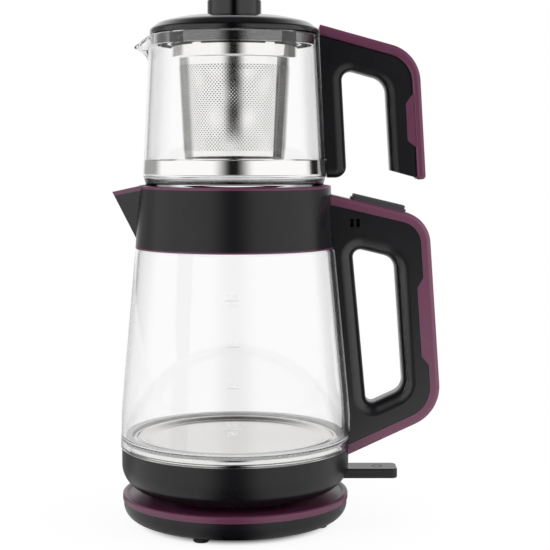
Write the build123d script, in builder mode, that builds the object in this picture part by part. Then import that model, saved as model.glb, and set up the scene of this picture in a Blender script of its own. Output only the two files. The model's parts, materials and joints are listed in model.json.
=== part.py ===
# Two-tier electric tea maker: a corded power base, a glass kettle on it and a glass teapot with a
# hanging leaf infuser that stands on the kettle's lid. Millimetres. The origin is the centre of the
# power base on the table, +Z is up, +X points to the handles and -X to the spouts.
from build123d import *
import math
import os

os.makedirs("parts", exist_ok=True)

# ------------------------------------------------------------------ fits
slip = 0.25  # radial clearance of pieces that plug together
seam = 0.3  # shadow gap between a cover and what it covers
touch = 0.1  # clearance of a curved face that follows another
screw_play = 0.05  # radial play of a screw, pin or rivet in its hole
running_play = 0.3  # clearance round a piece that slides or swings

# ------------------------------------------------------------------ power base
foot_protrusion = 3.7
foot_radius = 5.5
foot_recess = 1.2
foot_circle = 63.0
foot_count = 4
first_foot_angle = -110.0
base_radius = 80.0
base_wall = 2.2
base_housing_height = 13.4
base_corner = 10.5
base_rim_height = 4.8
base_rim_width = 2.8
base_dish_depth = 1.2
seat_ring_inner = 30.0
seat_ring_outer = 38.0
seat_ring_height = 2.8
base_screw_circle = 50.0
base_screw_count = 3
tower_radius = 17.0
tower_height = 7.8
tower_flange = 24.0
tower_flange_height = 3.0
pin_socket_radius = 3.6
ring_socket_inner = 8.0
ring_socket_outer = 10.6
socket_standoff = 7.8  # of the socket's underside above the housing's floor
socket_floor = 4.0
contact_thickness = 1.0
cord_bore_radius = 3.0
cord_bush_wall = 0.5
cord_bush_length = 10.0

# ------------------------------------------------------------------ kettle bottom
shell_radius = 80.4
shell_wall = 2.5
shell_height = 30.0
shell_corner = 18.0
bottom_flange_height = 1.0
bottom_flange_radius = 62.0
bottom_hole_radius = 54.0
bottom_plate_height = 2.5
bottom_screw_count = 3
plug_radius = 22.0
plug_cup_radius = 17.6
plug_cup_depth = 8.0
plug_flange = 27.0
plug_flange_height = 2.0
plug_plate_height = 4.0
contact_pin_radius = 2.0
contact_ring_inner = 8.6
contact_ring_outer = 9.9
contact_gap = 0.3
control_radius = 24.0
control_arm_length = 16.0
control_arm_width = 18.0
control_screw_length = 12.0
switch_arm_half_width = 5.0
bimetal_radius = 8.0
bimetal_height = 0.6
bimetal_offset = 12.0
element_inner = 42.0
element_outer = 50.0
element_height = 6.5
element_gap_angle = 40.0
cold_pin_radius = 1.6
cold_pin_length = 9.0
spreader_radius = 60.0
spreader_height = 2.5
plate_thickness = 0.8
plate_rise = 2.0
plate_disc_radius = 60.5
seal_inset = 3.4  # from the shell's outside to the seal in its ring
seal_wall = 1.0
seal_lip_width = 3.0
seal_radius = shell_radius - seal_inset
plate_radius = seal_radius - seal_wall
seal_lip_radius = plate_radius - seal_lip_width
seal_flange_height = 0.8
ring_overhang = 0.6
clear_ring_radius = shell_radius + ring_overhang
clear_ring_height = 8.0
clear_ring_shelf_height = 5.0
clear_ring_shelf_width = 2.2
clear_ring_shelf_radius = seal_radius - clear_ring_shelf_width

# ------------------------------------------------------------------ kettle glass and collar
kettle_glass_wall = 2.8
glass_overhang = 0.2
kettle_glass_radius = shell_radius + glass_overhang
kettle_bend_z = 78.8  # height at which the straight foot of the jar turns into its taper
kettle_foot_height = 1.25  # what stays straight below the rounding of that bend
shoulder_inset = 10.9
kettle_shoulder_radius = kettle_glass_radius - shoulder_inset
kettle_shoulder_z = 193.5
neck_inset = 4.4
kettle_neck_radius = kettle_shoulder_radius - neck_inset
kettle_neck_z = 198.5
kettle_glass_top = 210.5
rim_seal_height = 1.4
collar_bottom_z = 195.9
collar_bottom_radius = kettle_shoulder_radius - touch
collar_top_z = 236.5
collar_taper = 2.2
collar_top_radius = collar_bottom_radius - collar_taper
collar_wall = 5.9
mouth_radius = collar_top_radius - collar_wall
collar_rim_width = 2.4
lid_ledge_radius = collar_top_radius - collar_rim_width
collar_trim_height = 1.1
collar_trim_width = 1.0
rim_height = 2.0
spout_overhang = 20.8  # how far the beak's tip stands out past the collar's top
spout_tip_reach = collar_top_radius + spout_overhang
spout_rake = 0.506  # how far the tip moves out for each millimetre of height
spout_flare = 0.875  # half width gained for each millimetre back from the tip
spout_nose = 2.5
spout_wall = 2.2
spout_slope = 12.0
spout_trim_height = 3.0
spout_bottom_z = 197.5
spout_floor_z = 213.5
filter_thickness = 1.2
filter_arc = 30.0
filter_slot_width = 0.9
filter_slot_count = 11

# ------------------------------------------------------------------ kettle lid
lid_flange_height = 3.2
lid_flange_play = 0.4
lid_seat_depth = 0.8
lid_edge_width = 2.1
lid_seat_width = 8.4
lid_seat_outer = lid_ledge_radius - lid_edge_width
lid_seat_inner = lid_seat_outer - lid_seat_width
lid_skirt_bottom = 209.0
lid_skirt_play = 0.6
lid_skirt_wall = 3.9
lid_top_thickness = 2.4
lid_seal_height = 0.8
inner_plate_height = 2.0
lid_vent_radius = 2.0
lid_vent_circle = 20.0
lid_vent_count = 12
lid_screw_circle = 40.0
lid_screw_count = 3

# ------------------------------------------------------------------ kettle handle
handle_width = 27.0
handle_root = 7.4  # how far the top run starts inside the collar
handle_top_reach = 67.9
handle_bottom_reach = 64.7
handle_foot_root = 4.4
handle_top_left = (collar_top_radius - handle_root, 234.0)
handle_top_right = (collar_top_radius + handle_top_reach, 216.1)
handle_bottom_right = (shell_radius + handle_bottom_reach, 79.4)
handle_bottom_left = (shell_radius - handle_foot_root, 47.2)
handle_top_bend = 23.0
handle_bottom_bend = 29.0
cover_depth = 6.9
cover_pad_depth = 11.5
cover_pad_top = (174.5, 167.1)  # heights where the thicker thumb pad starts and is full
cover_pad_bottom = (119.2, 113.4)  # heights where it ends and is gone
hand_top_depth = 32.8
hand_side_depth = 25.5
hand_bottom_depth = 25.8
post_gap = 1.2
post_depth = 11.4
grip_round = 9.0
cover_round = 3.0
cavity_half_width = 7.0
fork_half_width = 9.0
cavity_floor_depth = 27.5
cavity_reach = 36.6
cavity_right = collar_top_radius + cavity_reach
cover_skin = 3.4
fork_length = 11.3
fork_reach = shell_radius + fork_length
channel_reach = 48.6
channel_right = collar_top_radius + channel_reach
hook_reach = 6.4
hook_drop = 2.6
first_vent = 14.2
vent_step = 4.2
vent_positions = (collar_top_radius + first_vent, collar_top_radius + first_vent + vent_step)
vent_drop = 1.4  # of the vents' middle below the catch
vent_pitch = 3.4
vent_radius = 1.35
steam_tube_radius = 1.6
steam_tube_wall = 0.5
steam_tube_top = 207.5
steam_tube_bend = 8.0
steam_hole_z = 228.0
steam_hole_radius = 2.5

# ------------------------------------------------------------------ lid release
tab_start = 14.6
tab_reach = 36.0
tab_left = collar_top_radius + tab_start
tab_right = tab_left + tab_reach
tab_half_width = 9.0
tab_thickness = 2.8
tab_standoff = 1.4
tab_recess = 1.2
tab_travel = 2.2
stem_inset = 6.0
guide_inset = 7.0
stem_x = tab_left + stem_inset
guide_x = tab_right - guide_inset
stem_half_width = 2.6
stem_depth = 5.0
catch_bottom_z = 214.1
vent_height = catch_bottom_z - vent_drop
catch_height = 3.4
catch_half_width = 5.5
catch_nose = 2.2  # how far the catch reaches past the mouth into the lid's groove
catch_length = 36.7
catch_nose_reach = mouth_radius - catch_nose
catch_tail_reach = catch_nose_reach + catch_length
catch_per_press = 0.9
catch_window_half_width = 3.2
spring_wire_radius = 0.35
catch_spring_radius = 1.9
catch_spring_turns = 5
guide_radius = 1.5
guide_length = 9.0
button_spring_radius = 2.3
button_spring_turns = 4

# ------------------------------------------------------------------ power lever
lever_overhang = 34.4
lever_reach = shell_radius + lever_overhang
lever_bottom_z = 31.7
lever_thickness = 6.8
lever_half_width = 10.5
lever_corner = 4.0
lever_pivot_inset = 8.4
lever_tail_length = 7.5
lever_pivot_x = shell_radius - lever_pivot_inset
lever_pivot_z = 35.1
lever_tail_x = lever_pivot_x - lever_tail_length
lever_pin_radius = 1.5
lever_pin_half_length = 14.0
lever_eye_wall = 3.0
lever_slot_half_width = 11.5
lever_mark_inset = 13.8
lever_mark_x = lever_reach - lever_mark_inset
lever_mark_radius = 3.6
lever_mark_width = 0.7
lever_mark_depth = 0.4

# ------------------------------------------------------------------ teapot
teapot_glass_wall = 2.4
teapot_foot_play = 1.3
teapot_foot_width = 6.0
teapot_foot_radius = lid_seat_outer - teapot_foot_play
teapot_foot_inner = teapot_foot_radius - teapot_foot_width
teapot_foot_height = 2.6
teapot_floor_thickness = 4.5
teapot_belly = 2.45
teapot_belly_radius = teapot_foot_radius + teapot_belly
teapot_belly_z = 245.5
teapot_taper = 5.45
teapot_rim_radius = teapot_belly_radius - teapot_taper
teapot_rim_z = 342.5
lip_overhang = 11.4
lip_lean = 1.0
lip_reach = teapot_rim_radius + lip_overhang
lip_top_reach = lip_reach - lip_lean
lip_bottom_z = 328.5
lip_nose_z = 333.7
lip_brim_drop = 6.4  # how far the lip's brim falls from the rim to the nose
lip_nose = 3.0
lip_flare = 0.9
band_bottom_z = 246.7
band_height = 9.4
band_thickness = 0.7
band_split_half = 1.2
band_screw_distance = 5.55
band_screw_x = teapot_belly_radius + band_screw_distance
band_screw_sink = 3.0
band_screw_length = 16.0
teapot_handle_width = 24.0
teapot_handle_root = 10.6
teapot_handle_reach = 68.9
teapot_handle_end_reach = 68.95
teapot_handle_top_left = (teapot_rim_radius - teapot_handle_root, 352.2)
teapot_handle_corner = (teapot_rim_radius + teapot_handle_reach, 330.2)
teapot_handle_end = (teapot_belly_radius + teapot_handle_end_reach, 242.9)
teapot_handle_bend = 27.0
teapot_cover_top_depth = 7.5
teapot_cover_side_depth = 6.7
teapot_pad_depth = 11.4
teapot_pad_top = (301.2, 294.7)
teapot_pad_bottom = (269.5, 265.5)
teapot_hand_top_depth = 24.8
teapot_hand_side_depth = 24.2
teapot_post_gap = 0.5
teapot_post_depth = 13.6
teapot_post_bottom = 243.8
teapot_grip_end_slope = 15.4
teapot_grip_end_z = 244.1
teapot_grip_round = 7.0
teapot_cover_round = 2.6
cover_end_gap = 1.1

# ------------------------------------------------------------------ teapot lid and infuser
cap_overhang = 0.2
cap_radius = teapot_rim_radius + cap_overhang
cap_edge_height = 3.6
cap_height = 13.0
cap_wall = 2.6
cap_ring_width = 2.9
cap_ring_inner = cap_radius - cap_ring_width
cap_flat_radius = 19.5
cap_step = 3.0
knob_radius = 18.8
knob_foot_radius = 16.0
knob_height = 11.5
knob_screw_radius = 2.0
skirt_play = 0.7
skirt_radius = teapot_rim_radius - teapot_glass_wall - skirt_play
skirt_wall = 1.9
skirt_bottom_z = 335.1
skirt_web = 2.0
skirt_notch_top_z = 341.5
skirt_notch_angles = (-132.0, -48.0, 48.0, 132.0)
skirt_notch_half_angle = 6.6
sleeve_bottom_z = 335.9
sleeve_inset = 10.9
sleeve_inner = skirt_radius - sleeve_inset
sleeve_wall = 2.0
infuser_play = 0.9
infuser_rim_radius = sleeve_inner - infuser_play
infuser_rim_bottom = 325.7
infuser_rim_top = 335.3
infuser_steel = 0.8
infuser_shoulder = 4.8
basket_taper = 3.3
basket_top_radius = infuser_rim_radius - infuser_shoulder
basket_bottom_radius = basket_top_radius - basket_taper
basket_bottom_z = 257.1
basket_steel = 0.6
lug_count = 3
first_lug_angle = -150.0
lug_half_angle = 5.5
lug_top_z = 340.5
lug_pin_height = 2.2
lug_pin_grip = 1.5  # how far a pin reaches into the sleeve's wall
lug_pin_reach = sleeve_inner + lug_pin_grip
pin_half_angle = 3.0
bayonet_play = 0.4
bayonet_turn = 22.0
base_hole_radius = 1.1
base_hole_pitch = 5.0
base_hole_reach = 8

# ------------------------------------------------------------------ fasteners
small_screw_radius = 1.5
small_head_radius = 2.8
small_head_height = 1.6
head_slot_depth = 1.2
base_screw_length = 7.0
bottom_screw_length = 7.8
lid_screw_length = 10.0
handle_screw_length = 15.0
screw_slot_width = 0.7

# ------------------------------------------------------------------ derived heights and radii
housing_bottom_z = foot_protrusion
base_seam_z = housing_bottom_z + base_housing_height
base_top_z = base_seam_z + base_rim_height
dish_z = base_top_z - base_dish_depth
seat_z = dish_z + seat_ring_height
tower_top_z = dish_z + tower_height
tower_flange_top = dish_z - 2.0
shell_bottom_z = seat_z + bottom_flange_height
shell_top_z = shell_bottom_z + shell_height
ring_top_z = shell_top_z + clear_ring_height
seal_bottom_z = shell_top_z + clear_ring_shelf_height
plate_edge_z = seal_bottom_z + 1.2
plate_z = plate_edge_z - plate_rise
glass_bottom_z = ring_top_z + seal_flange_height
rim_z = collar_top_z + rim_height
lid_top_z = rim_z - 0.8
lid_flange_z = lid_top_z - lid_flange_height
teapot_foot_z = lid_top_z - lid_seat_depth
lid_skirt_radius = mouth_radius - lid_skirt_play
kettle_taper_angle = math.atan2(shoulder_inset, kettle_shoulder_z - kettle_bend_z)
kettle_bend_length = kettle_bend_z - glass_bottom_z - kettle_foot_height
kettle_bend_rounding = kettle_bend_length / math.tan(kettle_taper_angle / 2)
cap_top_z = teapot_rim_z + cap_height
skirt_top_z = teapot_rim_z + cap_step
spreader_z = plate_z - spreader_height


# ------------------------------------------------------------------ helpers
def side_profile(corners, radii=None):
    """Closed outline in the XZ plane, given as (x or radius, height) corners."""
    with BuildSketch(Plane.XZ) as outline:
        with BuildLine():
            if radii is None:
                Polyline(*corners, close=True)
            else:
                FilletPolyline(*corners, radius=radii, close=True)
        make_face()
    return outline.sketch


def plan_profile(corners, height, radii=None):
    """Closed outline in a level plane at the given height."""
    with BuildSketch(Plane.XY.offset(height)) as outline:
        with BuildLine():
            if radii is None:
                Polyline(*corners, close=True)
            else:
                FilletPolyline(*corners, radius=radii, close=True)
        make_face()
    return outline.sketch


def turned(corners, radii=None, arc=360.0, start=0.0):
    """Solid turned about the Z axis from a (radius, height) outline."""
    with BuildPart() as body:
        revolve(side_profile(corners, radii), axis=Axis.Z, revolution_arc=arc)
    return body.part.rotate(Axis.Z, start) if start else body.part


def ring(inner, outer, bottom, top):
    """Plain ring of rectangular section."""
    return turned([(inner, bottom), (outer, bottom), (outer, top), (inner, top)])


def ring_sector(inner, outer, bottom, top, middle_angle, half_angle):
    """Part of a ring, centred on an angle counted from +X towards +Y."""
    corners = [(inner, bottom), (outer, bottom), (outer, top), (inner, top)]
    return turned(corners, arc=2 * half_angle, start=middle_angle - half_angle)


def inset(path, *depths):
    """Corners of the path that runs inside a clockwise path, one depth for each of its runs."""
    runs = []
    for start, end, depth in zip(path, path[1:], depths):
        length = math.dist(start, end)
        along = ((end[0] - start[0]) / length, (end[1] - start[1]) / length)
        shift = (along[1] * depth, -along[0] * depth)
        runs.append(((start[0] + shift[0], start[1] + shift[1]), along, length))
    corners = [runs[0][0]]
    for (first, u, _), (second, v, _) in zip(runs, runs[1:]):
        cross = u[0] * v[1] - u[1] * v[0]
        travel = ((second[0] - first[0]) * v[1] - (second[1] - first[1]) * v[0]) / cross
        corners.append((first[0] + u[0] * travel, first[1] + u[1] * travel))
    last, along, length = runs[-1]
    corners.append((last[0] + along[0] * length, last[1] + along[1] * length))
    return corners


def on_line(start, end, height):
    """Point at a height on the line through two points of the XZ plane."""
    share = (height - start[1]) / (end[1] - start[1])
    return (start[0] + (end[0] - start[0]) * share, height)


def at_x(start, end, x):
    """Point at an x on the line through two points of the XZ plane."""
    share = (x - start[0]) / (end[0] - start[0])
    return (x, start[1] + (end[1] - start[1]) * share)


def kettle_glass_at(height):
    """Outer radius of the kettle's glass where it tapers."""
    low = (kettle_glass_radius, kettle_bend_z)
    high = (kettle_shoulder_radius, kettle_shoulder_z)
    return on_line(low, high, height)[0]


def collar_at(height):
    """Outer radius of the collar."""
    return on_line((collar_bottom_radius, collar_bottom_z), (collar_top_radius, collar_top_z), height)[0]


def teapot_glass_at(height):
    """Outer radius of the teapot's glass."""
    return on_line((teapot_belly_radius, teapot_belly_z), (teapot_rim_radius, teapot_rim_z), height)[0]


def screw(tip, direction, length, radius=small_screw_radius):
    """Slotted pan-head screw. tip is the point under the head, direction points along the shank."""
    head = small_head_radius * radius / small_screw_radius
    with BuildPart(Plane(origin=tip, z_dir=direction)) as body:
        Cylinder(radius, length, align=(Align.CENTER, Align.CENTER, Align.MIN))
        Cylinder(head, small_head_height, align=(Align.CENTER, Align.CENTER, Align.MAX))
        with Locations((0, 0, -small_head_height)):
            Box(1.4 * head, screw_slot_width, head_slot_depth, mode=Mode.SUBTRACT)
    return body.part


def radial_plane(angle, distance=0.0):
    """Upright plane that faces away from the Z axis at an angle, its own x level and its own y upwards."""
    away = Vector(math.cos(math.radians(angle)), math.sin(math.radians(angle)), 0)
    return Plane(origin=away * distance, x_dir=(-away.Y, away.X, 0), z_dir=away)


def around(count, radius, first_angle=0.0):
    """(x, y) points evenly spaced on a circle."""
    angles = [math.radians(first_angle + 360.0 * i / count) for i in range(count)]
    return [(radius * math.cos(a), radius * math.sin(a)) for a in angles]


def save(piece, name):
    """Label a finished piece and write it as a STEP file."""
    piece.part.label = name
    export_step(piece.part, f"parts/{name}.step")


# ================================================================== power base
feet_points = around(foot_count, foot_circle, first_foot_angle)
base_screw_points = around(base_screw_count, base_screw_circle, 90.0 + 180.0 / base_screw_count)
housing_floor_z = housing_bottom_z + base_wall
housing_radius = base_radius - 0.7
screw_sink_z = housing_bottom_z + small_head_height - 0.2
cord_bush_radius = cord_bore_radius + cord_bush_wall
cord_z = base_seam_z - cord_bush_radius - 2 * touch

with BuildPart() as base_housing:
    add(
        turned(
            [
                (0, housing_bottom_z),
                (housing_radius, housing_bottom_z),
                (housing_radius, base_seam_z),
                (housing_radius - base_wall, base_seam_z),
                (housing_radius - base_wall, housing_floor_z),
                (0, housing_floor_z),
            ],
            [0, base_corner, 0, 0, base_corner - base_wall, 0],
        )
    )
    add(ring(tower_flange - 5.0, tower_flange - 1.5, housing_floor_z, tower_flange_top - tower_flange_height))
    with BuildSketch(Plane.XY.offset(housing_bottom_z)) as foot_recesses:
        with Locations(*feet_points):
            Circle(foot_radius + touch)
    extrude(amount=foot_recess, mode=Mode.SUBTRACT)
    with BuildSketch(Plane.XY.offset(housing_bottom_z)) as head_recesses:
        with Locations(*base_screw_points):
            Circle(small_head_radius + slip)
    extrude(amount=screw_sink_z - housing_bottom_z, mode=Mode.SUBTRACT)
    with BuildSketch(Plane.XY.offset(housing_bottom_z)) as screw_holes:
        with Locations(*base_screw_points):
            Circle(small_screw_radius + screw_play)
    extrude(amount=base_wall, mode=Mode.SUBTRACT)
    # notch in the rear wall for the cord's bush, closed by the top cover
    with BuildSketch(Plane.XZ.offset(-base_radius)) as cord_notch:
        with Locations((0, cord_z)):
            Circle(cord_bush_radius + touch)
        with Locations((0, (cord_z + base_seam_z) / 2)):
            Rectangle(2 * (cord_bush_radius + touch), base_seam_z - cord_z)
    extrude(amount=cord_bush_length, mode=Mode.SUBTRACT)
save(base_housing, "base_housing")

with BuildPart() as base_top_cover:
    add(
        turned(
            [
                (tower_radius + running_play, dish_z - 2.0),
                (housing_radius - base_wall + touch, dish_z - 2.0),
                (housing_radius - base_wall + touch, base_seam_z),
                (base_radius, base_seam_z),
                (base_radius, base_top_z),
                (base_radius - base_rim_width, base_top_z),
                (base_radius - base_rim_width - 2.0, dish_z),
                (seat_ring_outer + 1.0, dish_z),
                (seat_ring_outer, seat_z),
                (seat_ring_inner, seat_z),
                (seat_ring_inner - 1.0, dish_z),
                (tower_radius + running_play, dish_z),
            ],
            [0, 0, 0, 0.5, 1.5, 0.8, 0.8, 0, 0.6, 0.6, 0, 0],
        )
    )
    with BuildSketch(Plane.XY.offset(housing_floor_z)) as bosses:
        with Locations(*base_screw_points):
            Circle(small_screw_radius + 2.2)
    extrude(amount=dish_z - 2.0 - housing_floor_z)
    with BuildSketch(Plane.XY.offset(housing_floor_z)) as boss_holes:
        with Locations(*base_screw_points):
            Circle(small_screw_radius + screw_play)
    extrude(amount=7.4, mode=Mode.SUBTRACT)
save(base_top_cover, "base_top_cover")

with BuildPart() as base_feet:
    with BuildSketch() as foot_discs:
        with Locations(*feet_points):
            Circle(foot_radius)
    extrude(amount=foot_protrusion + foot_recess)
    chamfer(base_feet.edges().group_by(Axis.Z)[0], 0.7)
save(base_feet, "base_feet")

with BuildPart() as base_screws:
    for x, y in base_screw_points:
        add(screw((x, y, screw_sink_z), (0, 0, 1), base_screw_length))
save(base_screws, "base_screws")

socket_bottom_z = housing_floor_z + socket_standoff
socket_z = socket_bottom_z + socket_floor

with BuildPart() as base_socket:
    add(ring(0, tower_radius, socket_bottom_z, tower_top_z))
    fillet(base_socket.edges().group_by(Axis.Z)[-1], 1.5)
    add(ring(tower_radius - 3.0, tower_flange, tower_flange_top - tower_flange_height, tower_flange_top))
    with BuildSketch(Plane.XY.offset(socket_z)) as socket_wells:
        Circle(ring_socket_outer)
        Circle(ring_socket_inner, mode=Mode.SUBTRACT)
        Circle(pin_socket_radius)
    extrude(amount=tower_top_z, mode=Mode.SUBTRACT)
save(base_socket, "base_socket")

with BuildPart() as socket_contacts:
    with BuildSketch(Plane.XY.offset(socket_z)) as contact_rings:
        Circle(ring_socket_outer - running_play)
        Circle(ring_socket_inner + running_play, mode=Mode.SUBTRACT)
        Circle(pin_socket_radius - running_play)
    extrude(amount=contact_thickness)
save(socket_contacts, "socket_contacts")

with BuildPart() as cord_inlet:
    with BuildSketch(Plane.XZ.offset(-(base_radius - 0.9))) as bush_section:
        with Locations((0, cord_z)):
            Circle(cord_bush_radius)
            Circle(cord_bore_radius, mode=Mode.SUBTRACT)
    extrude(amount=cord_bush_length)
save(cord_inlet, "cord_inlet")

# ================================================================== kettle bottom
bottom_screw_radius = (bottom_hole_radius + bottom_flange_radius) / 2
bottom_screw_points = around(bottom_screw_count, bottom_screw_radius, 60.0)
shell_inner = shell_radius - shell_wall
shell_floor_z = shell_bottom_z + shell_wall
lever_top_z = lever_bottom_z + lever_thickness
ear_inner = lever_slot_half_width
ear_outer = lever_slot_half_width + lever_eye_wall
ear_top_z = lever_top_z + 2.0
ear_middle_z = (shell_floor_z + ear_top_z) / 2
ear_height = ear_top_z - shell_floor_z

hook_bottom_z = at_x(handle_bottom_left, handle_bottom_right, shell_radius)[1] + seam
hook_middle_z = (hook_bottom_z + shell_top_z) / 2
hook_inside_x = math.sqrt((shell_inner - slip) ** 2 - fork_half_width**2)
shell_corners = [
    (bottom_hole_radius, shell_bottom_z),
    (shell_radius, shell_bottom_z),
    (shell_radius, shell_top_z),
]
shell_envelope = turned([(0, shell_bottom_z), *shell_corners[1:], (0, shell_top_z)], [0, shell_corner, 0, 0])

with BuildPart() as ear_block:
    with BuildSketch(Plane.YZ.offset(lever_pivot_x - 5.0)) as ears:
        with Locations(*[(side * (ear_inner + ear_outer) / 2, ear_middle_z) for side in (-1, 1)]):
            Rectangle(lever_eye_wall, ear_height)
    extrude(amount=9.0)
lever_ears = ear_block.part

with BuildPart() as kettle_base_shell:
    add(
        turned(
            [
                *shell_corners,
                (shell_inner, shell_top_z),
                (shell_inner, shell_floor_z),
                (bottom_hole_radius, shell_floor_z),
            ],
            [0, shell_corner, 0, 0, shell_corner - shell_wall, 0],
        )
    )
    # window for the power lever, open at the bottom as a scoop, with an ear for its pin each side
    add(lever_ears & shell_envelope)
    with BuildSketch(Plane.YZ.offset(lever_pivot_x - 4.0)) as lever_window:
        with Locations((0, (shell_bottom_z - 1.0 + lever_top_z + 1.0) / 2)):
            Rectangle(2 * lever_slot_half_width, lever_top_z + 2.0 - shell_bottom_z)
    extrude(amount=shell_radius, mode=Mode.SUBTRACT)
    with BuildSketch(Plane.XZ) as pin_hole:
        with Locations((lever_pivot_x, lever_pivot_z)):
            Circle(lever_pin_radius + screw_play)
    extrude(amount=ear_outer + 5.0, both=True, mode=Mode.SUBTRACT)
    with BuildSketch(Plane.XY.offset(shell_floor_z)) as screw_bosses:
        with Locations(*bottom_screw_points):
            Circle(small_screw_radius + 1.8)
    extrude(amount=6.0)
    with BuildSketch(Plane.XY.offset(shell_bottom_z)) as screw_bores:
        with Locations(*bottom_screw_points):
            Circle(small_screw_radius + screw_play)
    extrude(amount=7.5, mode=Mode.SUBTRACT)
    # notch in the upper edge that the hook of the handle's foot drops into
    with BuildSketch(Plane.YZ.offset(shell_inner - 3.0)) as hook_notch:
        with Locations((0, hook_middle_z - touch / 2)):
            Rectangle(2 * (fork_half_width + slip), shell_top_z - hook_bottom_z + touch)
    extrude(amount=shell_wall + 6.0, mode=Mode.SUBTRACT)
save(kettle_base_shell, "kettle_base_shell")

with BuildPart() as kettle_bottom_cover:
    add(
        turned(
            [
                (plug_radius + slip, seat_z),
                (bottom_flange_radius, seat_z),
                (bottom_flange_radius, shell_bottom_z),
                (bottom_hole_radius - slip, shell_bottom_z),
                (bottom_hole_radius - slip, seat_z + bottom_plate_height),
                (plug_radius + slip, seat_z + bottom_plate_height),
            ]
        )
    )
    with BuildSketch(Plane.XY.offset(seat_z)) as cover_holes:
        with Locations(*bottom_screw_points):
            Circle(small_screw_radius + screw_play)
    extrude(amount=bottom_flange_height, mode=Mode.SUBTRACT)
save(kettle_bottom_cover, "kettle_bottom_cover")

with BuildPart() as kettle_bottom_screws:
    for x, y in bottom_screw_points:
        add(screw((x, y, seat_z), (0, 0, 1), bottom_screw_length))
save(kettle_bottom_screws, "kettle_bottom_screws")

plug_plate_z = seat_z + plug_cup_depth
plug_top_z = plug_plate_z + plug_plate_height
control_screw_radius = (contact_ring_outer + plug_cup_radius) / 2
control_screw_points = around(2, control_screw_radius, 90.0)

with BuildPart() as kettle_plug:
    add(
        turned(
            [
                (0, plug_plate_z),
                (plug_cup_radius, plug_plate_z),
                (plug_cup_radius, seat_z),
                (plug_radius, seat_z),
                (plug_radius, seat_z + bottom_plate_height),
                (plug_flange, seat_z + bottom_plate_height),
                (plug_flange, seat_z + bottom_plate_height + plug_flange_height),
                (plug_radius, seat_z + bottom_plate_height + plug_flange_height),
                (plug_radius, plug_top_z),
                (0, plug_top_z),
            ]
        )
    )
    with BuildSketch(Plane.XY.offset(plug_plate_z)) as plug_holes:
        Circle(contact_pin_radius + screw_play)
        with Locations(*control_screw_points):
            Circle(small_screw_radius + screw_play)
    extrude(amount=plug_plate_height, mode=Mode.SUBTRACT)
save(kettle_plug, "kettle_plug")

contact_bottom_z = socket_z + contact_thickness + contact_gap
with BuildPart() as plug_contacts:
    with BuildSketch(Plane.XY.offset(contact_bottom_z)) as blade_ring:
        Circle(contact_ring_outer)
        Circle(contact_ring_inner, mode=Mode.SUBTRACT)
    extrude(amount=plug_plate_z - contact_bottom_z)
    with BuildSketch(Plane.XY.offset(contact_bottom_z)) as pin_shank:
        Circle(contact_pin_radius)
    extrude(amount=plug_top_z - contact_bottom_z)
    with BuildSketch(Plane.XY.offset(plug_top_z)) as pin_head:
        Circle(contact_pin_radius + 1.2)
    extrude(amount=1.0)
save(plug_contacts, "plug_contacts")

control_top_z = spreader_z - bimetal_height
with BuildPart() as thermostat_control:
    with BuildSketch(Plane.XY.offset(plug_top_z)) as control_outline:
        Circle(control_radius)
        with Locations((control_radius - 2.0, 0)):
            Rectangle(control_arm_length, control_arm_width)
    extrude(amount=control_top_z - plug_top_z)
    # rocker arm of the switch, which the lever's tail works
    with BuildSketch(Plane.XY.offset(lever_bottom_z + 1.0)) as switch_arm:
        with Locations((lever_tail_x / 2, 0)):
            Rectangle(lever_tail_x - 2 * running_play, 2 * switch_arm_half_width)
        Circle(control_radius - 2.0, mode=Mode.SUBTRACT)
    extrude(amount=lever_thickness - 2.0)
    with BuildSketch(Plane.XY.offset(plug_top_z)) as pin_pocket:
        Circle(contact_pin_radius + 3.0)
    extrude(amount=3.0, mode=Mode.SUBTRACT)
    with BuildSketch(Plane.XY.offset(plug_top_z)) as control_bores:
        with Locations(*control_screw_points):
            Circle(small_screw_radius + screw_play)
    extrude(amount=9.0, mode=Mode.SUBTRACT)
save(thermostat_control, "thermostat_control")

with BuildPart() as control_screws:
    for x, y in control_screw_points:
        add(screw((x, y, plug_plate_z), (0, 0, 1), control_screw_length))
save(control_screws, "control_screws")

with BuildPart() as bimetal_discs:
    with BuildSketch(Plane.XY.offset(control_top_z)) as discs:
        with Locations((0, bimetal_offset), (0, -bimetal_offset)):
            Circle(bimetal_radius)
    extrude(amount=bimetal_height)
save(bimetal_discs, "bimetal_discs")

with BuildPart() as heating_element:
    element_bottom = spreader_z - element_height
    half_arc = (360.0 - element_gap_angle) / 2
    add(ring_sector(element_inner, element_outer, element_bottom, spreader_z, 180.0, half_arc))
    fillet(heating_element.edges().group_by(Axis.Z)[0].filter_by(GeomType.CIRCLE), 2.4)
    terminal_angle = math.radians(element_gap_angle / 2 + 5.0)
    terminal_circle = (element_inner + element_outer) / 2
    terminal_x = terminal_circle * math.cos(terminal_angle)
    terminal_y = terminal_circle * math.sin(terminal_angle)
    with BuildSketch(Plane.XY.offset(element_bottom - cold_pin_length)) as cold_pins:
        with Locations((terminal_x, terminal_y), (terminal_x, -terminal_y)):
            Circle(cold_pin_radius)
    extrude(amount=cold_pin_length + 0.5)
save(heating_element, "heating_element")

with BuildPart() as heat_spreader:
    with BuildSketch(Plane.XY.offset(spreader_z)) as spreader_disc:
        Circle(spreader_radius)
    extrude(amount=spreader_height)
    chamfer(heat_spreader.edges().group_by(Axis.Z)[0], 0.8)
save(heat_spreader, "heat_spreader")

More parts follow.
